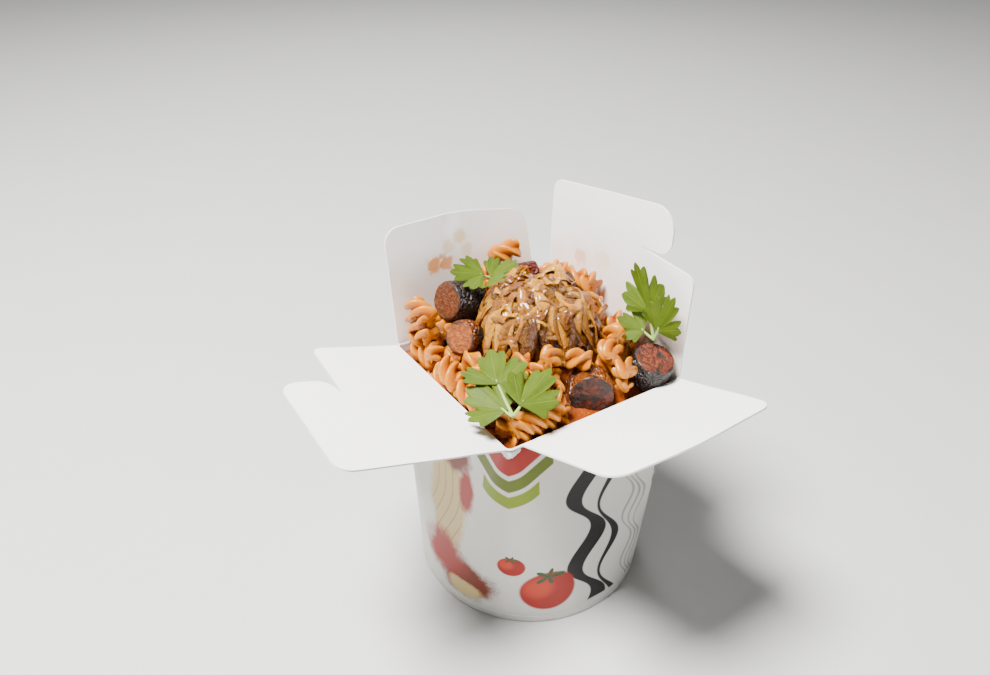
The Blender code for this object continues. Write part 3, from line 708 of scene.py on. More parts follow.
SPIRALS = [
    ((-27, -36.5, 103.5), 0, -2, 20, 1),
    ((-26, -37, 108), 0, 0, 22, 1),
    ((-18, -32, 109.5), 0, -3, 22, 1),
    ((-13.5, -34, 104), 80, 10, 14, 1),
    ((17.5, -37, 107), 75, 10, 14, 0.6),
    ((-12, -24, 105), -10, 0, 16, 1),
    ((-38, -14, 106), 92, 0, 22, 1),
    ((-23, -21, 111), -70, -7, 20, 1),
    ((-25, -10, 107), 60, 0, 18, 1),
    ((-37.5, 8, 108.5), -95, -8, 22, 1),
    ((-36, 4, 103), 100, 5, 18, 1),
    ((-27, 22, 103.5), 20, 0, 18, 1),
    ((-36.4, 30, 104), 90, 5, 20, 1),
    ((-33, 30, 109.5), -50, -5, 18, 1),
    ((-36.5, 31, 115.5), 90, 4, 20, 1),
    ((-36, 32, 123), 90, 0, 14, 1),
    ((-22, 5, 105), 13, 0, 18, 1),
    ((25.5, -21, 110), 15, 5, 17, 1),
    ((31, -16.5, 114), -20, 5, 14, 1),
    ((30, -17, 106), 0, 0, 16, 1),
    ((34, -18, 118), -87, 0, 16, 1),
    ((34, -4, 119.5), -87, 0, 18, 1),
    ((33.8, 2, 127.5), -87, 0, 16, 1),
    ((33, 6, 105.5), 85, 0, 20, 1),
    ((32, 17, 121), -80, 0, 20, 1),
    ((30.5, 16, 127.5), -65, 5, 15, 1),
    ((32.3, 26, 114), 90, 0, 18, 1),
    ((22, 31, 112.5), -20, 0, 20, 1),
    ((8, 36, 111.5), 0, 0, 18, 1),
    ((2, 39.5, 119.5), 0, 0, 20, 1),
    ((4, 40.3, 125), 0, 10, 16, 1),
    ((10, 41.8, 133), 0, 10, 18, 1),
]
ONION_CENTRE = Vector((4.5 * MM, 4 * MM))
ONION_LONG = 25.5 * MM
ONION_SHORT = 23 * MM
ONION_TURN = math.radians(-34)
ONION_FLOOR = 111.5 * MM
ONION_TOP = 137 * MM
DOME_CROWN = 3
DOME_SIDE = 0.7
RING_CENTRE = Vector((24.2, -4.6, 124.8)) * MM
RING_FACING = Vector((-0.25, -0.45, 0.85)).normalized()
RING_RADIUS = 5.2 * MM
RING_THICK = 1.8 * MM
SAUSAGES = [
    (Vector((-23.5, 33.0, 124.0)) * MM, Vector((0.92, 0.12, -0.34)), 8.6 * MM, 18 * MM),
    (Vector((-29.0, 13.5, 117.5)) * MM, Vector((0.85, 0.40, -0.35)), 7.0 * MM, 8.5 * MM),
    (Vector((13.0, 36.5, 123.2)) * MM, Vector((0.96, -0.20, 0.05)), 5.2 * MM, 12 * MM),
    (Vector((1.8, -36.0, 105.5)) * MM, Vector((0.55, 0.83, -0.08)), 9.0 * MM, 12.5 * MM),
    (Vector((32.8, -37.3, 114.0)) * MM, Vector((0.00, 0.33, -0.94)), 8.6 * MM, 13 * MM),
]
LEAF_FAN = math.radians(82)
SPRIGS = [
    (Vector((-38.0, -38.8, 114.5)), [
        (Vector((-34.8, -23.4, 118.3)), Vector((-26.0, -5.0, 120.0)), Vector((-0.25, -0.35, 0.9)), 1.00),
        (Vector((-38.2, -34.8, 114.5)), Vector((-43.4, -15.2, 114.5)), Vector((-0.25, -0.35, 0.9)), 0.90),
        (Vector((-34.5, -37.8, 117.5)), Vector((-13.5, -28.0, 120.0)), Vector((-0.20, -0.45, 0.9)), 0.75),
    ]),
    (Vector((35.8, -32.5, 119.0)), [
        (Vector((35.2, -29.0, 130.5)), Vector((35.6, -18.0, 148.0)), Vector((-0.96, -0.22, 0.18)), 0.80),
        (Vector((34.0, -28.5, 122.0)), Vector((27.0, -19.0, 125.5)), Vector((-0.35, -0.50, 0.8)), 0.95),
        (Vector((35.8, -33.5, 123.5)), Vector((37.0, -40.5, 142.0)), Vector((-0.96, -0.22, 0.18)), 0.75),
    ]),
    (Vector((-2.0, 30.5, 130.0)), [
        (Vector((-5.5, 31.0, 132.5)), Vector((-19.5, 36.0, 135.0)), Vector((-0.1, -0.4, 0.9)), 0.95),
        (Vector((-4.3, 28.3, 131.0)), Vector((-1.5, 20.0, 133.0)), Vector((-0.1, -0.4, 0.9)), 0.95),
        (Vector((-3.5, 29.0, 132.0)), Vector((11.5, 31.5, 133.5)), Vector((-0.1, -0.4, 0.9)), 0.80),
    ]),
]


def smooth_step(x):
    x = min(max(x, 0), 1)
    return x * x * (3 - 2 * x)


def lay_level(x, y):
    """Height of the heap: low along the open left and front sides."""
    half = OPENING_SIDE / 2
    return EDGE_LEVEL + HEAP_RISE * smooth_step((x + half) / RISE_RUN) * smooth_step((y + half) / RISE_RUN)


def direction(heading, tilt):
    heading, tilt = math.radians(heading), math.radians(tilt)
    return Vector((math.cos(heading) * math.cos(tilt), math.sin(heading) * math.cos(tilt), math.sin(tilt)))


def mound_reach(x, y):
    """Share of the way from the onion mound's middle to its edge."""
    flat = Matrix.Rotation(-ONION_TURN, 2) @ (Vector((x, y)) - ONION_CENTRE)
    return math.hypot(flat.x / ONION_LONG, flat.y / ONION_SHORT)


def mound_distance(point):
    height = (point.z - ONION_FLOOR) / (ONION_TOP - ONION_FLOOR)
    edge = (1 - min(max(height, 0), 1) ** (1 / DOME_SIDE)) ** (1 / DOME_CROWN)
    aside = max(mound_reach(point.x, point.y) - edge, 0) * ONION_SHORT
    return math.hypot(aside, max(ONION_FLOOR - point.z, point.z - ONION_TOP, 0))


def leaf_reach(angle):
    """Share of a leaflet's length at an angle from its midrib: a lobe, and one each side."""
    return 0.84 + 0.16 * math.cos(6 * angle) - 0.22 * (angle / LEAF_FAN) ** 2


def leaf_distance(point, base, tip, facing, breadth):
    along = (tip - base).normalized()
    across = along.cross(facing).normalized()
    offset = point - base * MM
    ahead, aside = offset.dot(along), offset.dot(across) / breadth
    angle, reach = abs(math.atan2(aside, ahead)), math.hypot(ahead, aside)
    length = (tip - base).length * MM
    past_tip = max(reach - length * leaf_reach(min(angle, LEAF_FAN)), 0)
    past_side = reach * math.sin(min(max(angle - LEAF_FAN, 0), math.pi / 2))
    apart = max(abs(offset.dot(across.cross(along))) - 0.06 * length - 0.25 * MM, 0)
    return math.hypot(max(past_tip, past_side), apart)


def clear_of_toppings(point, room):
    for face, into, radius, length in SAUSAGES:
        into = into.normalized()
        depth = (point - face).dot(into)
        beyond = max(-depth, depth - length, 0)
        aside = max((point - face - into * depth).length - radius * 1.04, 0)
        if math.hypot(beyond, aside) < room:
            return False
    offset = point - RING_CENTRE
    height = offset.dot(RING_FACING)
    aside = max((offset - RING_FACING * height).length - RING_RADIUS - RING_THICK, 0)
    if math.hypot(aside, max(abs(height) - RING_THICK, 0)) < room:
        return False
    if mound_distance(point) < room + 1.3 * MM * (point.z > ONION_FLOOR):
        return False
    return all(leaf_distance(point, *leaf) > room for _, leaves in SPRIGS for leaf in leaves)


def off_cut_faces(point):
    """True unless a point is just in front of a sausage's cut face."""
    for face, into, radius, _ in SAUSAGES:
        into = into.normalized()
        depth = (point - face).dot(into)
        if -FACE_ROOM < depth < 0 and (point - face - into * depth).length < radius * 1.3:
            return False
    return True


def inside_box(point, room):
    above = max(point.z - BOX_HEIGHT, 0)
    spill = OVERHANG * smooth_step(above / (4 * MM))
    spread = (spill, 0, above / math.tan(math.radians(LEAN["back"])), spill)
    return all((point.to_2d() - corner).dot(side_normal(side)) <= over - BOARD - room
               for side, (corner, over) in enumerate(zip(rim_corners(), spread)))


class Laid:
    """The axis points laid so far, in cells, so that near ones are found at once."""

    CELL = 6 * MM

    def __init__(self):
        self.cells = {}

    def key(self, point):
        return tuple(math.floor(part / self.CELL) for part in point)

    def add(self, points):
        for point in points:
            self.cells.setdefault(self.key(point), []).append(point)

    def far_from(self, point, spacing):
        x, y, z = self.key(point)
        near = (self.cells.get((x + i, y + j, z + k), ())
                for i in (-1, 0, 1) for j in (-1, 0, 1) for k in (-1, 0, 1))
        return all((point - other).length > spacing for cell in near for other in cell)


def free_run(middle, way, length, girth, laid=None, spacing=0.0, ease=1.0):
    """The longest run of an axis's points that are free of walls, toppings and spirals."""
    room = SPIRAL_RADIUS * girth + FIT_GAP
    count = round(length / FIT_STEP)
    runs = [[]]
    for i in range(count + 1):
        point = middle + way * (i - count / 2) * FIT_STEP
        apart = laid is None or laid.far_from(point, spacing)
        showing = laid is None or off_cut_faces(point)
        if apart and showing and inside_box(point, room) and clear_of_toppings(point, room * ease):
            runs[-1].append(point)
        else:
            runs.append([])
    return max(runs, key=len)


def laid_spirals():
    """Two ends and a thickness for each: the placed ones, then others where there is room."""
    draw = random.Random(HEAP_SEED)
    runs = []
    for middle, heading, tilt, length, girth in SPIRALS:
        way = direction(heading + draw.uniform(-2, 2), tilt + draw.uniform(-2, 2))
        runs.append((free_run(Vector(middle) * MM, way, length * MM, girth), girth))
    laid = Laid()
    for run, _ in runs:
        laid.add(run[::2])

    def add_where_free(middle, way, length, girth, spacing, ease, shortest):
        run = free_run(middle, way, length, girth, laid, spacing, ease)
        if len(run) * FIT_STEP > shortest:
            runs.append((run, girth))
            laid.add(run[::2])

    for tries, girth, spacing, low, high, ease in FILLS:
        for _ in range(tries):
            x, y = draw.uniform(-FILL_REACH, FILL_REACH), draw.uniform(-FILL_REACH, FILL_REACH)
            middle = Vector((x, y, lay_level(x, y) + draw.uniform(low, high) * MM))
            way = direction(draw.uniform(0, 180), draw.uniform(-18, 18))
            length = draw.uniform(15, 27) * MM
            add_where_free(middle, way, length, girth, spacing * MM, ease, 7 * MM)
    for side in (RIGHT, BACK):
        near, far = rim_corners()[side], rim_corners()[side + 1]
        bearing = math.degrees(math.atan2(far.y - near.y, far.x - near.x))
        for _ in range(BANK_TRIES):
            spot = near.lerp(far, draw.uniform(0.08, 0.92)) - side_normal(side) * BANK_INSET
            middle = spot.to_3d() + Vector((0, 0, draw.uniform(103, 117) * MM))
            way = direction(bearing + draw.uniform(-4, 4), draw.uniform(-14, 14))
            length = draw.uniform(15, 26) * MM
            add_where_free(middle, way, length, BANK_GIRTH, BANK_SPACING, BANK_EASE, 8 * MM)
    return [(run[0], run[-1], girth) for run, girth in runs if len(run) * FIT_STEP > SHORTEST]


def sauced_pasta():
    """Cooked pasta in tomato sauce: pale gold on the ridges, red-orange oil between them, with painted shade
    in the grooves and painted light on the crests.
    """
    made, tree, shader = new_finish("sauced_pasta")
    place = object_place(tree)
    ridge, own = painted_place(tree, "ridge")
    patch, fine = speckle(tree, place, 150, 4), speckle(tree, place, 900, 3)
    # sauce pools in the grooves and thins on the crests; the dark groove colour is also painted shade, the
    # pale crest colour also painted light
    ridge_light_and_shade = total(tree, ridge, product(tree, minus(tree, patch, 0.5), 0.9))
    colour = blend_colours(tree, step_between(tree, ridge_light_and_shade, 0.05, 0.6), PASTA_GROOVE_SAUCE_AND_SHADE, PASTA_SAUCED)
    crest = product(tree, step_between(tree, ridge_light_and_shade, 0.5, 1.25), 0.85)
    colour = blend_colours(tree, crest, colour, PASTA_RIDGE)
    speck = product(tree, step_between(tree, fine, 0.62, 0.74), 0.5)
    colour = blend_colours(tree, speck, colour, PASTA_SPECK)
    colour = blend_colours(tree, product(tree, own, 0.45), colour, PASTA_PALE)
    finish_shader(tree, shader, colour, total(tree, 0.22, product(tree, fine, 0.2)), specular=0.3,
                  coat=0.14, coat_roughness=0.10, softness=0.07, soft_radius=(0.004, 0.0016, 0.0006))
    height = total(tree, product(tree, fine, 0.5), product(tree, speckle(tree, place, 2600, 2), 0.3))
    roughen(tree, shader, height, 0.00045, 0.5)
    return made


def thick_sauce():
    """Cooked-down tomato sauce between the spirals, darkened as painted shade for the gaps it shows in."""
    made, tree, shader = new_finish("tomato_sauce")
    place = object_place(tree)
    patch, fine = speckle(tree, place, 160, 4), speckle(tree, place, 900, 4)
    # painted shade: the sauce's reds are darkened because it shows only in shaded gaps between the spirals
    colour = blend_colours(tree, patch, (0.11, 0.014, 0.001), (0.27, 0.050, 0.001))
    colour = blend_colours(tree, step_between(tree, fine, 0.60, 0.70), colour, (0.36, 0.110, 0.006))
    finish_shader(tree, shader, colour, 0.22, coat=0.25, coat_roughness=0.08)
    roughen(tree, shader, total(tree, patch, product(tree, fine, 0.4)), 0.0012, 0.8)
    return made


SAUCED_PASTA = sauced_pasta()
TOMATO_SAUCE = thick_sauce()


def pasta_bed():
    """The mass under the spirals, filling the tub."""
    inset = BOARD + GAP
    shoulder = EDGE_LEVEL - CORE_SINK
    rings = [box_section(height, inset) for height in (BASE_BOARD + GAP, shoulder * 0.5, shoulder)]
    for row in range(1, BED_ROWS):
        share = 1 - row / BED_ROWS
        ring = []
        for x, y, _ in box_section(shoulder, inset):
            x, y = x * share, y * share
            lump = 1.6 * MM * noise.noise(Vector((x, y, 0)) * 180) * smooth_step((1 - share) * 6)
            bed = ONION_FLOOR + 1.0 * MM - 30 * MM * max(0, mound_reach(x, y) - 1)
            level = max(lay_level(x, y) - CORE_SINK + lump, bed)
            level = min(level, shoulder + BED_BANK * (1 - share) * OPENING_SIDE / 2)
            ring.append(Vector((x, y, level)))
        rings.append(ring)
    bm = bmesh.new()
    skin(bm, rings)
    bed = make_piece("pasta_bed", bm, "tub", TOMATO_SAUCE, sharp=80)
    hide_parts("pasta")


def spiral_mesh(bm, ridge_map, a, b, girth, draw):
    """One spiral: three rounded blades that turn along a slightly bent axis."""
    way = (b - a).normalized()
    side = way.orthogonal().normalized()
    rise = way.cross(side)
    bend = side * draw.uniform(-0.7, 0.7) * MM + rise * draw.uniform(-0.5, 0.5) * MM
    phase, tone = draw.uniform(0, math.pi), draw.random()
    count = max(8, round((b - a).length / SPIRAL_STEP))
    turned = draw.choice((1, 1, 1, -1))
    rows, ridges = [], []
    for i in range(count + 1):
        share = i / count
        taper = 1 - 0.16 * abs(2 * share - 1) ** 8
        middle = a.lerp(b, share) + bend * math.sin(math.pi * share)
        turn = phase + turned * 2 * math.pi * (b - a).length * share / SPIRAL_TURN
        row, marks = [], []
        for k in range(SPIRAL_SIDES):
            angle = 2 * math.pi * k / SPIRAL_SIDES
            ridge = (0.5 + 0.5 * math.cos(3 * angle)) ** 0.8
            reach = girth * taper * (SPIRAL_WAIST + (SPIRAL_RADIUS - SPIRAL_WAIST) * ridge)
            reach *= 1 + 0.035 * noise.noise(Vector((share * 9, angle, tone * 50)))
            out = side * math.cos(turn + angle) + rise * math.sin(turn + angle)
            row.append(bm.verts.new(middle + out * reach))
            marks.append(ridge)
        rows.append(row)
        ridges.append(marks)
    for i in range(count):
        for k in range(SPIRAL_SIDES):
            j = (k + 1) % SPIRAL_SIDES
            quad = ((i, k), (i, j), (i + 1, j), (i + 1, k))
            marked_face(bm, ridge_map, [rows[m][n] for m, n in quad], [(ridges[m][n], tone) for m, n in quad])
    for row, flip in ((rows[0], True), (rows[-1], False)):
        hub = bm.verts.new(sum((vert.co for vert in row), Vector()) / SPIRAL_SIDES)
        for k in range(SPIRAL_SIDES):
            j = (k + 1) % SPIRAL_SIDES
            trio = (row[j], row[k], hub) if flip else (row[k], row[j], hub)
            marked_face(bm, ridge_map, trio, [(CUT_END_MARK, tone)] * 3)


def pasta_spirals():
    draw = random.Random(HEAP_SEED + 1)
    bm = bmesh.new()
    ridge_map = bm.loops.layers.uv.new("ridge")
    for a, b, girth in laid_spirals():
        spiral_mesh(bm, ridge_map, a, b, girth, draw)
    heap = make_piece("pasta_spirals", bm, "tub", SAUCED_PASTA, sharp=75)
    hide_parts("pasta")


pasta_bed()
pasta_spirals()


# The grilled sausage
# Thick cut chunks of smoked sausage, charred over the flame and glazed with the sauce.
# The casing is wrinkled and nearly black; the cut faces are coarse brown meat.

SAUSAGE_SIDES = 56
CASING_CHAR = (0.010, 0.006, 0.005)
CUT_CHAR = (0.014, 0.008, 0.006)


def casing(name, base, char):
    """Wrinkled casing: a red-brown glaze under patches of char."""
    made, tree, shader = new_finish(name)
    place = object_place(tree)
    patch, fine = speckle(tree, place, 130, 5), speckle(tree, place, 1100, 4)
    wrinkle = place_node(tree, "ShaderNodeTexVoronoi", {"Vector": place, "Scale": 520},
                         feature="DISTANCE_TO_EDGE").outputs[0]
    colour = blend_colours(tree, fine, base, tuple(channel * 0.45 for channel in base))
    burnt = step_between(tree, total(tree, patch, product(tree, fine, 0.3)), 0.92 - char, 1.0 - char * 0.75)
    colour = blend_colours(tree, burnt, colour, CASING_CHAR)
    finish_shader(tree, shader, colour, total(tree, 0.3, product(tree, burnt, 0.18)), specular=0.35,
                  coat=0.18, coat_roughness=0.15)
    roughen(tree, shader, total(tree, product(tree, wrinkle, 900), product(tree, fine, 0.8)), 0.0005, 0.55)
    return made


def cut_meat(name, lean, fat, char):
    """Coarse minced meat, seared where it met the grill."""
    made, tree, shader = new_finish(name)
    place = object_place(tree)
    patch, grain, fine = (speckle(tree, place, *look) for look in ((210, 5), (620, 4), (1900, 3)))
    reach, _ = painted_place(tree, "slice")
    colour = blend_colours(tree, step_between(tree, grain, 0.42, 0.60), lean, fat)
    pits = product(tree, step_between(tree, fine, 0.52, 0.66), 0.7)
    colour = blend_colours(tree, pits, colour, tuple(channel * 0.4 for channel in lean))
    rim = total(tree, reach, product(tree, minus(tree, patch, 0.5), 0.7))
    burnt = calc(tree, "MAXIMUM", step_between(tree, rim, 0.80, 1.0),
                 step_between(tree, patch, 0.78 - char, 0.90 - char))
    colour = blend_colours(tree, burnt, colour, CUT_CHAR)
    finish_shader(tree, shader, colour, total(tree, 0.34, product(tree, patch, 0.3)), specular=0.3,
                  coat=0.12, coat_roughness=0.12)
    roughen(tree, shader, total(tree, grain, product(tree, fine, 0.5)), 0.0011, 0.8)
    return made


SAUSAGE_LOOKS = [
    ((0.065, 0.012, 0.003), 0.50, (0.070, 0.014, 0.001), (0.135, 0.031, 0.002), 0.08),
    ((0.26, 0.056, 0.003), 0.26, (0.18, 0.038, 0.002), (0.31, 0.080, 0.004), 0.17),
    ((0.12, 0.010, 0.003), 0.20, (0.12, 0.012, 0.003), (0.18, 0.024, 0.006), 0.10),
    # the fourth chunk's cut face, turned to the front, is near black: seared, and painted shade
    ((0.26, 0.060, 0.004), 0.24, (0.034, 0.005, 0.001), (0.095, 0.016, 0.003), 0.32),
    ((0.035, 0.007, 0.003), 0.50, (0.066, 0.009, 0.002), (0.155, 0.029, 0.006), 0.25),
]


def sausage_chunk(index, face, into, radius, length):
    """A cut chunk: rounded cut edges, and skin that puckers a little along its length."""
    into = into.normalized()
    side = into.orthogonal().normalized()
    rise = into.cross(side)
    profile = [(0.0, share) for share in (0.12, 0.3, 0.48, 0.64, 0.76, 0.86)]
    profile += [(0.02, 0.93), (0.045, 0.975), (0.08, 1.0)]
    profile += [(0.08 + 0.84 * i / 14, 1 + 0.04 * math.sin(math.pi * i / 14)) for i in range(1, 15)]
    profile += [(0.955, 0.975), (0.98, 0.93), (1.0, 0.86), (1.0, 0.5), (1.0, 0.15)]
    bm = bmesh.new()
    slice_map = bm.loops.layers.uv.new("slice")
    rings = []
    for depth, share in profile:
        ring = []
        flat = depth in (0.0, 1.0)
        for k in range(SAUSAGE_SIDES):
            turn = 2 * math.pi * k / SAUSAGE_SIDES
            out = side * math.cos(turn) + rise * math.sin(turn)
            spot = out * share * radius + into * depth * length
            bump = noise.noise(spot * 420 + Vector((index * 9, 0, 0))) * 0.35 * MM
            bump += noise.noise(spot * 160 + Vector((0, index * 7, 0))) * 0.35 * MM
            if flat:
                ring.append(face + spot + into * abs(bump) * (1 if depth == 0 else -1))
            else:
                ring.append(face + spot - out * abs(bump))
        rings.append(ring)
    skin(bm, rings)
    for mesh_face in bm.faces:
        depths = [(vert.co - face).dot(into) / length for vert in mesh_face.verts]
        mesh_face.material_index = 1 if max(depths) < 0.06 or min(depths) > 0.94 else 0
        for loop in mesh_face.loops:
            spot = loop.vert.co - face
            reach = (spot - into * spot.dot(into)).length / radius
            loop[slice_map].uv = (min(reach, 1), 0)
    base, char, lean, fat, seared = SAUSAGE_LOOKS[index]
    outside = casing(f"sausage_casing_{index + 1}", base, char)
    inside = cut_meat(f"sausage_cut_{index + 1}", lean, fat, seared)
    chunk = make_piece(f"sausage_chunk_{index + 1}", bm, "tub", outside, inside, sharp=60)
    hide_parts(f"sausage_{index + 1}")


for sausage_index, sausage in enumerate(SAUSAGES):
    sausage_chunk(sausage_index, *sausage)


# The fried onion
# Ribbons of onion fried until golden and browned at the edges, piled in a mound.
# One whole ring leans on the mound beside the right lid.

ONION_SEED = 11
RIBBON_PARTS = 16
RIBBON_ACROSS = 6
RIBBON_EDGE = 0.02
MOUND_HEART = ONION_CENTRE.to_3d() + Vector((0, 0, ONION_FLOOR - 20 * MM))


def fried_onion(name, pale, brown, browning):
    """Glossy, half-clear onion with veins along it and browned patches."""
    made, tree, shader = new_finish(name)
    place = object_place(tree)
    own, across = painted_place(tree, "ribbon")
    patch, fine = speckle(tree, place, 170, 5), speckle(tree, place, 1300, 3)
    edge = calc(tree, "ABSOLUTE", minus(tree, calc(tree, "FRACT", across), 0.5))
    share = total(tree, patch, product(tree, edge, 0.35), browning)
    share = total(tree, share, product(tree, calc(tree, "FRACT", own), 0.6))
    colour = blend_colours(tree, step_between(tree, share, 0.30, 0.75), pale, brown)
    wave = calc(tree, "SINE", total(tree, product(tree, across, 44), product(tree, patch, 3)))
    vein = step_between(tree, calc(tree, "ABSOLUTE", wave), 0.28, 0.0)
    colour = blend_colours(tree, product(tree, vein, 0.35), colour, tuple(c * 0.45 for c in brown))
    speck = product(tree, step_between(tree, fine, 0.64, 0.76), 0.6)
    colour = blend_colours(tree, speck, colour, tuple(c * 0.5 for c in brown))
    finish_shader(tree, shader, colour, total(tree, 0.14, product(tree, fine, 0.2)), specular=0.4,
                  coat=0.55, coat_roughness=0.06, softness=0.3, soft_radius=(0.003, 0.0018, 0.0007))
    height = total(tree, product(tree, vein, -0.5), total(tree, patch, product(tree, fine, 0.3)))
    roughen(tree, shader, total(tree, height, speckle(tree, place, 640, 4, 0.65)), 0.0015, 0.85)
    return made


GOLDEN_ONION = fried_onion("golden_onion", (0.58, 0.240, 0.012), (0.20, 0.055, 0.001), -0.34)
# painted shade: a darker copy of the golden onion, for the heart and the low ribbons that lie under the top
# ones
SHADED_BROWN_ONION = fried_onion("shaded_brown_onion", (0.28, 0.100, 0.004), (0.075, 0.020, 0.001), -0.32)


def mound_point(u, turn, grow=0.0):
    """A point on the mound: u runs from 0 on top to 1 at its edge."""
    flat = Matrix.Rotation(ONION_TURN, 2) @ Vector((
        (ONION_LONG + grow) * u * math.cos(turn), (ONION_SHORT + grow) * u * math.sin(turn)))
    lift = (ONION_TOP - ONION_FLOOR) * (1 - min(u, 1) ** DOME_CROWN) ** DOME_SIDE
    bump = 1.0 * MM * math.sin(5 * turn + 7 * u) * math.sin(math.pi * u)
    bump += 5.0 * MM * (noise.noise(Vector((flat.x, flat.y, 0.02)) * 95) - 0.2) * (1 - u ** 6)
    return Vector((ONION_CENTRE.x + flat.x, ONION_CENTRE.y + flat.y, ONION_FLOOR + lift + bump))


def edge_strip(bm, layer, upper, lower, mark):
    """Joins two matching outlines by a narrow strip of faces."""
    for i in range(len(upper)):
        j = (i + 1) % len(upper)
        marked_face(bm, layer, (upper[i], lower[i], lower[j], upper[j]), [mark] * 4)


def onion_heart():
    """The darker onion under the ribbons: more browned, and painted shade."""
    bm = bmesh.new()
    ribbon_map = bm.loops.layers.uv.new("ribbon")
    steps, count = 72, 26
    rings = [[mound_point(1, 2 * math.pi * k / steps) for k in range(steps)]]
    for row in range(1, count):
        ring = []
        for k in range(steps):
            u, turn = 1 - (row / count) ** 1.2, 2 * math.pi * k / steps
            spot = mound_point(u, turn)
            ring.append(spot - Vector((0, 0, (1.2 + 1.6 * abs(noise.noise(spot * 220))) * MM)))
        rings.append(ring)
    skin(bm, rings)
    for face in bm.faces:
        for loop in face.loops:
            loop[ribbon_map].uv = (loop.vert.co.x * 60, loop.vert.co.y * 60 + loop.vert.co.z * 40)
    heart = make_piece("onion_heart", bm, "tub", SHADED_BROWN_ONION, sharp=80)
    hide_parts("onion")


def onion_ribbon(bm, ribbon_map, draw, layer, near, far, narrow, broad):
    """One curved ribbon that lies over the mound and curls at its edges."""
    u, turn = math.sqrt(draw.uniform(near ** 2, far ** 2)), draw.uniform(0, 2 * math.pi)
    heading, bend = draw.uniform(0, 2 * math.pi), draw.uniform(-4, 4)
    length, width = draw.uniform(0.22, 0.62), draw.uniform(narrow, broad) * MM
    cup, twist, wave = draw.uniform(-1.2, 2.2) * MM, draw.uniform(-1.5, 1.5), draw.uniform(0, 6)
    tone, thick = draw.random(), 0.62 * MM
    middles = []
    for i in range(RIBBON_PARTS + 1):
        along = (i / RIBBON_PARTS - 0.5) * length
        x = u * math.cos(turn) + along * math.cos(heading + bend * along)
        y = u * math.sin(turn) + along * math.sin(heading + bend * along)
        spot = mound_point(min(math.hypot(x, y), 0.995), math.atan2(y, x))
        up = (spot - MOUND_HEART).normalized()
        hop = (layer + 0.9 * math.sin(wave + 6 * along)) * MM
        middles.append((spot + up * hop, up))
    sheets = []
    for half in (thick, -thick):
        rows = []
        for i, (here, up) in enumerate(middles):
            way = (middles[min(i + 1, RIBBON_PARTS)][0] - middles[max(i - 1, 0)][0]).normalized()
            lean = twist * math.sin(i / RIBBON_PARTS * 4 + wave)
            across = Matrix.Rotation(lean, 3, way) @ way.cross(up).normalized()
            lift = across.cross(way).normalized()
            lift = lift if lift.dot(up) > 0 else -lift
            reach = width * (0.35 + 0.65 * math.sin(math.pi * (0.06 + 0.88 * i / RIBBON_PARTS)) ** 0.5)
            row = []
            for k in range(RIBBON_ACROSS + 1):
                share = 2 * k / RIBBON_ACROSS - 1
                pinch = 1 - share ** 4 * 0.85
                spot = here + across * reach * share - lift * cup * share ** 2 + lift * half * pinch
                row.append(bm.verts.new(spot))
            rows.append(row)
        sheets.append(rows)
    top, low = sheets
    for rows, flip in ((top, False), (low, True)):
        for i in range(RIBBON_PARTS):
            for k in range(RIBBON_ACROSS):
                quad = [rows[i][k], rows[i][k + 1], rows[i + 1][k + 1], rows[i + 1][k]]
                shares = [part / RIBBON_ACROSS for part in (k, k + 1, k + 1, k)]
                marks = [(tone, RIBBON_EDGE + (1 - 2 * RIBBON_EDGE) * share) for share in shares]
                marked_face(bm, ribbon_map, quad, marks, flip)
    rims = [sheet[0] + [row[-1] for row in sheet[1:-1]] + sheet[-1][::-1] + [row[0] for row in sheet[-2:0:-1]]
            for sheet in (top, low)]
    edge_strip(bm, ribbon_map, *rims, (tone, RIBBON_EDGE))


ONION_LAYERS = [
    ("onion_ribbons_low", SHADED_BROWN_ONION, [
        (100, (-0.8, 0.9), 0.55, 1.0, 1.6, 3.6),
        (35, (-0.8, 0.3), 0.0, 0.6, 1.6, 3.2),
    ]),
    ("onion_ribbons_top", GOLDEN_ONION, [
        (105, (0.1, 2.0), 0.0, 0.78, 1.3, 3.3),
        (45, (0.0, 1.4), 0.6, 0.97, 1.1, 2.6),
    ]),
]


def onion_pile():
    """Two layers of ribbons: darker ones low down, more browned and painted shade, golden ones on top."""
    draw = random.Random(ONION_SEED)
    for name, finish, parts in ONION_LAYERS:
        bm = bmesh.new()
        ribbon_map = bm.loops.layers.uv.new("ribbon")
        for count, layers, near, far, narrow, broad in parts:
            for _ in range(count):
                onion_ribbon(bm, ribbon_map, draw, draw.uniform(*layers), near, far, narrow, broad)
        pile = make_piece(name, bm, "tub", finish, sharp=70)
        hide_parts("onion")


def whole_ring():
    """The ring: two skins of onion, one inside the other."""
    side = RING_FACING.orthogonal().normalized()
    rise = RING_FACING.cross(side)
    steps, around = 56, 12
    bm = bmesh.new()
    ribbon_map = bm.loops.layers.uv.new("ribbon")
    rings = []
    for i in range(steps):
        turn = 2 * math.pi * i / steps
        out = side * math.cos(turn) + rise * math.sin(turn)
        wobble = 1 + 0.05 * math.sin(3 * turn + 1) + 0.03 * math.sin(7 * turn)
        middle = RING_CENTRE + out * RING_RADIUS * wobble
        rings.append([
            middle + (out * math.cos(2 * math.pi * k / around) * 0.55
                      + RING_FACING * math.sin(2 * math.pi * k / around)) * RING_THICK
            for k in range(around)
        ])
    skin(bm, rings, looped=True)
    for face in bm.faces:
        for loop in face.loops:
            share = (loop.vert.co - RING_CENTRE).dot(RING_FACING) / (2.4 * RING_THICK)
            loop[ribbon_map].uv = (0.5, share + 0.5)
    ring = make_piece("onion_ring", bm, "tub", GOLDEN_ONION, sharp=80)
    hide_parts("onion")


onion_heart()
onion_pile()
whole_ring()


# The coriander
# Three fresh sprigs laid on last: lobed, toothed leaflets on thin stalks.
# They are thin and a little cupped, with paler veins that fan from the stalk.

LEAF_RAYS = 120
LEAF_ROWS = 12
LEAF_SLIMNESS = 0.82
STEM_RADIUS = 0.6 * MM


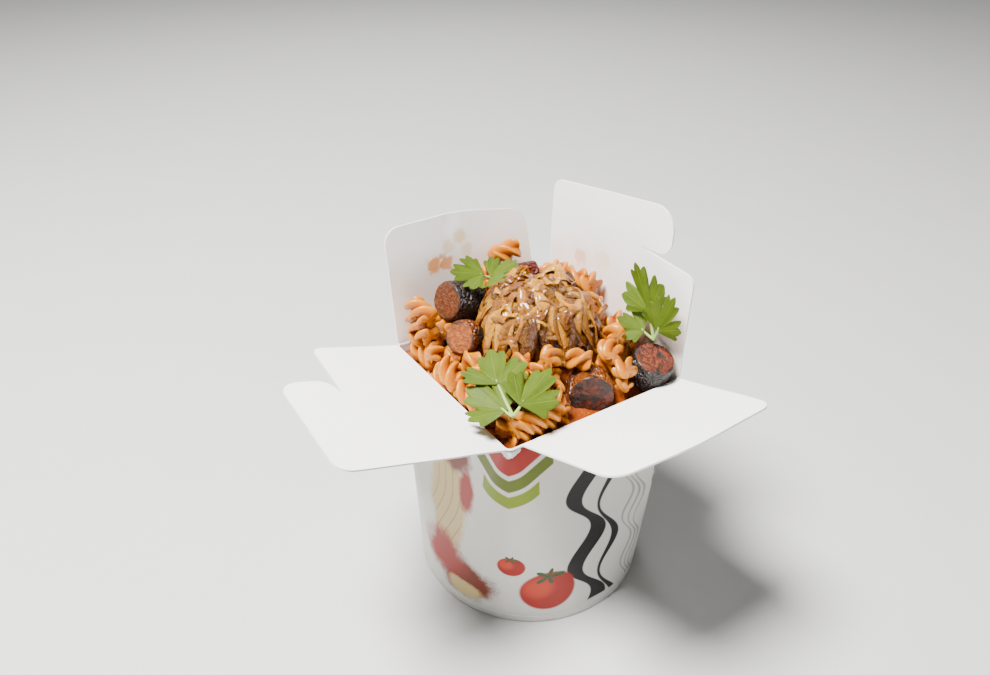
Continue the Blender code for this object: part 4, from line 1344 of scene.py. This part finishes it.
def coriander_leaf():
    """Fresh green leaf, paler along its veins and darker between them."""
    made, tree, shader = new_finish("coriander_leaf")
    place = object_place(tree)
    angle, reach = painted_place(tree, "leaf")
    patch, fine = speckle(tree, place, 200, 4), speckle(tree, place, 1500, 3)
    colour = blend_colours(tree, patch, (0.036, 0.068, 0.002), (0.088, 0.128, 0.004))
    main = calc(tree, "ABSOLUTE", calc(tree, "SINE", product(tree, angle, math.pi * 3)))
    slim = product(tree, minus(tree, 1.15, reach), 0.10)
    vein = step_between(tree, minus(tree, main, slim), 0.05, -0.02)
    fork = calc(tree, "SINE", total(tree, product(tree, angle, 38), product(tree, reach, 9)))
    twig = step_between(tree, calc(tree, "ABSOLUTE", fork), 0.16, 0.02)
    colour = blend_colours(tree, product(tree, twig, 0.35), colour, (0.135, 0.190, 0.012))
    colour = blend_colours(tree, product(tree, vein, 0.75), colour, (0.180, 0.230, 0.020))
    finish_shader(tree, shader, colour, total(tree, 0.44, product(tree, fine, 0.2)), specular=0.22,
                  softness=0.10, soft_radius=(0.0008, 0.0015, 0.0003))
    height = minus(tree, product(tree, patch, 0.6), total(tree, vein, product(tree, twig, 0.4)))
    roughen(tree, shader, height, 0.0004, 0.6)
    return made


def stalk_green():
    """Stalk: pale green and a little ribbed."""
    made, tree, shader = new_finish("coriander_stalk")
    grain = speckle(tree, object_place(tree), 900, 3)
    colour = blend_colours(tree, grain, (0.20, 0.36, 0.05), (0.36, 0.50, 0.13))
    finish_shader(tree, shader, colour, 0.4)
    roughen(tree, shader, grain, 0.0002, 0.4)
    return made


CORIANDER_LEAF = coriander_leaf()
CORIANDER_STALK = stalk_green()


def toothed_reach(angle):
    """The leaflet's outline: narrow clefts between the lobes, and round teeth."""
    cleft = 0.20 * (0.5 - 0.5 * math.cos(6 * angle)) ** 8
    scallop = 0.17 * abs(math.cos(9 * angle)) ** 0.7 + 0.02 * abs(math.cos(18 * angle))
    return 0.79 + 0.03 * math.cos(6 * angle) - 0.22 * (angle / LEAF_FAN) ** 2 - cleft + scallop


def leaflet(bm, leaf_map, base, tip, facing, breadth, droop):
    along = (tip - base).normalized()
    across = along.cross(facing).normalized()
    up = across.cross(along)
    length = (tip - base).length
    sheets = []
    for half in (0.16 * MM, -0.16 * MM):
        rows = [[base + up * half]]
        for row in range(1, LEAF_ROWS + 1):
            out = row / LEAF_ROWS
            points = []
            for ray in range(LEAF_RAYS + 1):
                angle = LEAF_FAN * (2 * ray / LEAF_RAYS - 1)
                reach = length * toothed_reach(angle) * out
                wave = 0.06 * length * math.sin(3 * angle) * out ** 2
                pleat = 0.022 * length * math.cos(6 * angle) * out
                spread = across * reach * math.sin(angle) * breadth * LEAF_SLIMNESS
                lift = half + wave + pleat - droop * length * out ** 3
                points.append(base + along * reach * math.cos(angle) + spread + up * lift)
            rows.append(points)
        sheets.append(rows)
    top, low = [[[bm.verts.new(point) for point in row] for row in rows] for rows in sheets]
    for rows, flip in ((top, False), (low, True)):
        for k in range(LEAF_RAYS):
            faces = [((rows[0][0], rows[1][k], rows[1][k + 1]), ((k, 0), (k, 1), (k + 1, 1)))]
            for row in range(1, LEAF_ROWS):
                inner, outer = rows[row], rows[row + 1]
                faces.append(((inner[k], outer[k], outer[k + 1], inner[k + 1]),
                              ((k, row), (k, row + 1), (k + 1, row + 1), (k + 1, row))))
            for verts, marks in faces:
                places = [(2 * ray / LEAF_RAYS - 1, row / LEAF_ROWS) for ray, row in marks]
                marked_face(bm, leaf_map, verts, places, flip)
    rims = [sheet[0] + [row[0] for row in sheet[1:]] + sheet[-1][1:] + [row[-1] for row in sheet[-2:0:-1]]
            for sheet in (top, low)]
    edge_strip(bm, leaf_map, *rims, (0.5, 1))


def stalk(bm, start, end, sag):
    """A thin bent stalk."""
    way = (end - start).normalized()
    side = way.orthogonal().normalized()
    rise = way.cross(side)
    turns = [2 * math.pi * k / 10 for k in range(10)]
    around = [side * math.cos(turn) + rise * math.sin(turn) for turn in turns]
    rings = []
    for i in range(11):
        share = i / 10
        reach = STEM_RADIUS * (1.25 - 0.6 * share)
        middle = start.lerp(end, share) + sag * math.sin(math.pi * share)
        rings.append([middle + out * reach for out in around])
    before = set(bm.faces)
    skin(bm, rings)
    for face in bm.faces:
        if face not in before:
            face.material_index = 1


def coriander_sprigs():
    draw = random.Random(7)
    for index, (root, leaves) in enumerate(SPRIGS):
        bm = bmesh.new()
        leaf_map = bm.loops.layers.uv.new("leaf")
        for base, tip, facing, breadth in leaves:
            base, tip, facing = base * MM, tip * MM, facing.normalized()
            leaflet(bm, leaf_map, base, tip, facing, breadth, draw.uniform(-0.03, 0.02))
            stalk(bm, root * MM, base.lerp(tip, 0.12), Vector((0, 0, -0.4 * MM)))
        name = f"coriander_sprig_{index + 1}"
        sprig = make_piece(name, bm, "tub", CORIANDER_LEAF, CORIANDER_STALK, sharp=80)
        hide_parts(f"coriander_{index + 1}")


coriander_sprigs()


# The studio
# A plain pale floor and soft light: a key from above, a wide fill and a rim light behind.
# The camera stands where the photo's fitted camera stood.

def studio_floor():
    made, tree, shader = new_finish("studio_floor")
    grain = speckle(tree, object_place(tree), 30, 3)
    finish_shader(tree, shader, blend_colours(tree, grain, (0.55, 0.55, 0.545), (0.58, 0.58, 0.575)), 0.8)
    bm = bmesh.new()
    bm.faces.new([bm.verts.new((x, y, -0.0002)) for x, y in ((-3, -3), (3, -3), (3, 3), (-3, 3))])
    mesh = bpy.data.meshes.new("studio_floor")
    bm.to_mesh(mesh)
    bm.free()
    mesh.materials.append(made)
    floor = bpy.data.objects.new("studio_floor", mesh)
    bpy.context.scene.collection.objects.link(floor)


def soft_light(name, spot, target, size, power, colour):
    lamp = bpy.data.lights.new(name, "AREA")
    lamp.shape = "DISK"
    lamp.size = size
    lamp.energy = power
    lamp.color = colour
    holder = bpy.data.objects.new(name, lamp)
    holder.location = spot
    holder.rotation_euler = (Vector(target) - Vector(spot)).to_track_quat("-Z", "Y").to_euler()
    bpy.context.scene.collection.objects.link(holder)


studio_floor()
BOX_MIDDLE = (0, 0, 0.08)
soft_light("key_light", (-0.40, 0.05, 1.10), BOX_MIDDLE, 0.40, 62, (1.0, 0.985, 0.96))
soft_light("fill_light", (-0.25, -1.05, 0.60), BOX_MIDDLE, 0.9, 1.2, (0.98, 0.985, 1.0))
soft_light("rim_light", (0.45, 0.85, 0.7), BOX_MIDDLE, 0.5, 4, (1.0, 0.99, 0.97))
studio_air = bpy.data.worlds.new("studio_air")
studio_air.use_nodes = True
studio_air.node_tree.nodes["Background"].inputs["Color"].default_value = (0.9, 0.92, 0.95, 1)
studio_air.node_tree.nodes["Background"].inputs["Strength"].default_value = 0.10
bpy.context.scene.world = studio_air

CAMERA_SPOT = Vector((-0.18904, -0.25226, 0.31367))
CAMERA_FORWARD = Vector((0.4700, 0.7028, -0.5341)).normalized()
CAMERA_ROLL = math.radians(0.471)
lens = bpy.data.cameras.new("photo_camera")
lens.sensor_width = 36
lens.lens = 32.5
lens.clip_start = 0.01
photo_camera = bpy.data.objects.new("photo_camera", lens)
level = CAMERA_FORWARD.cross(Vector((0, 0, 1))).normalized()
upright = level.cross(CAMERA_FORWARD)
camera_right = level * math.cos(CAMERA_ROLL) + upright * math.sin(CAMERA_ROLL)
camera_up = upright * math.cos(CAMERA_ROLL) - level * math.sin(CAMERA_ROLL)
photo_camera.matrix_world = Matrix.Translation(CAMERA_SPOT) @ Matrix(
    (camera_right, camera_up, -CAMERA_FORWARD)).transposed().to_4x4()
bpy.context.scene.collection.objects.link(photo_camera)
bpy.context.scene.camera = photo_camera
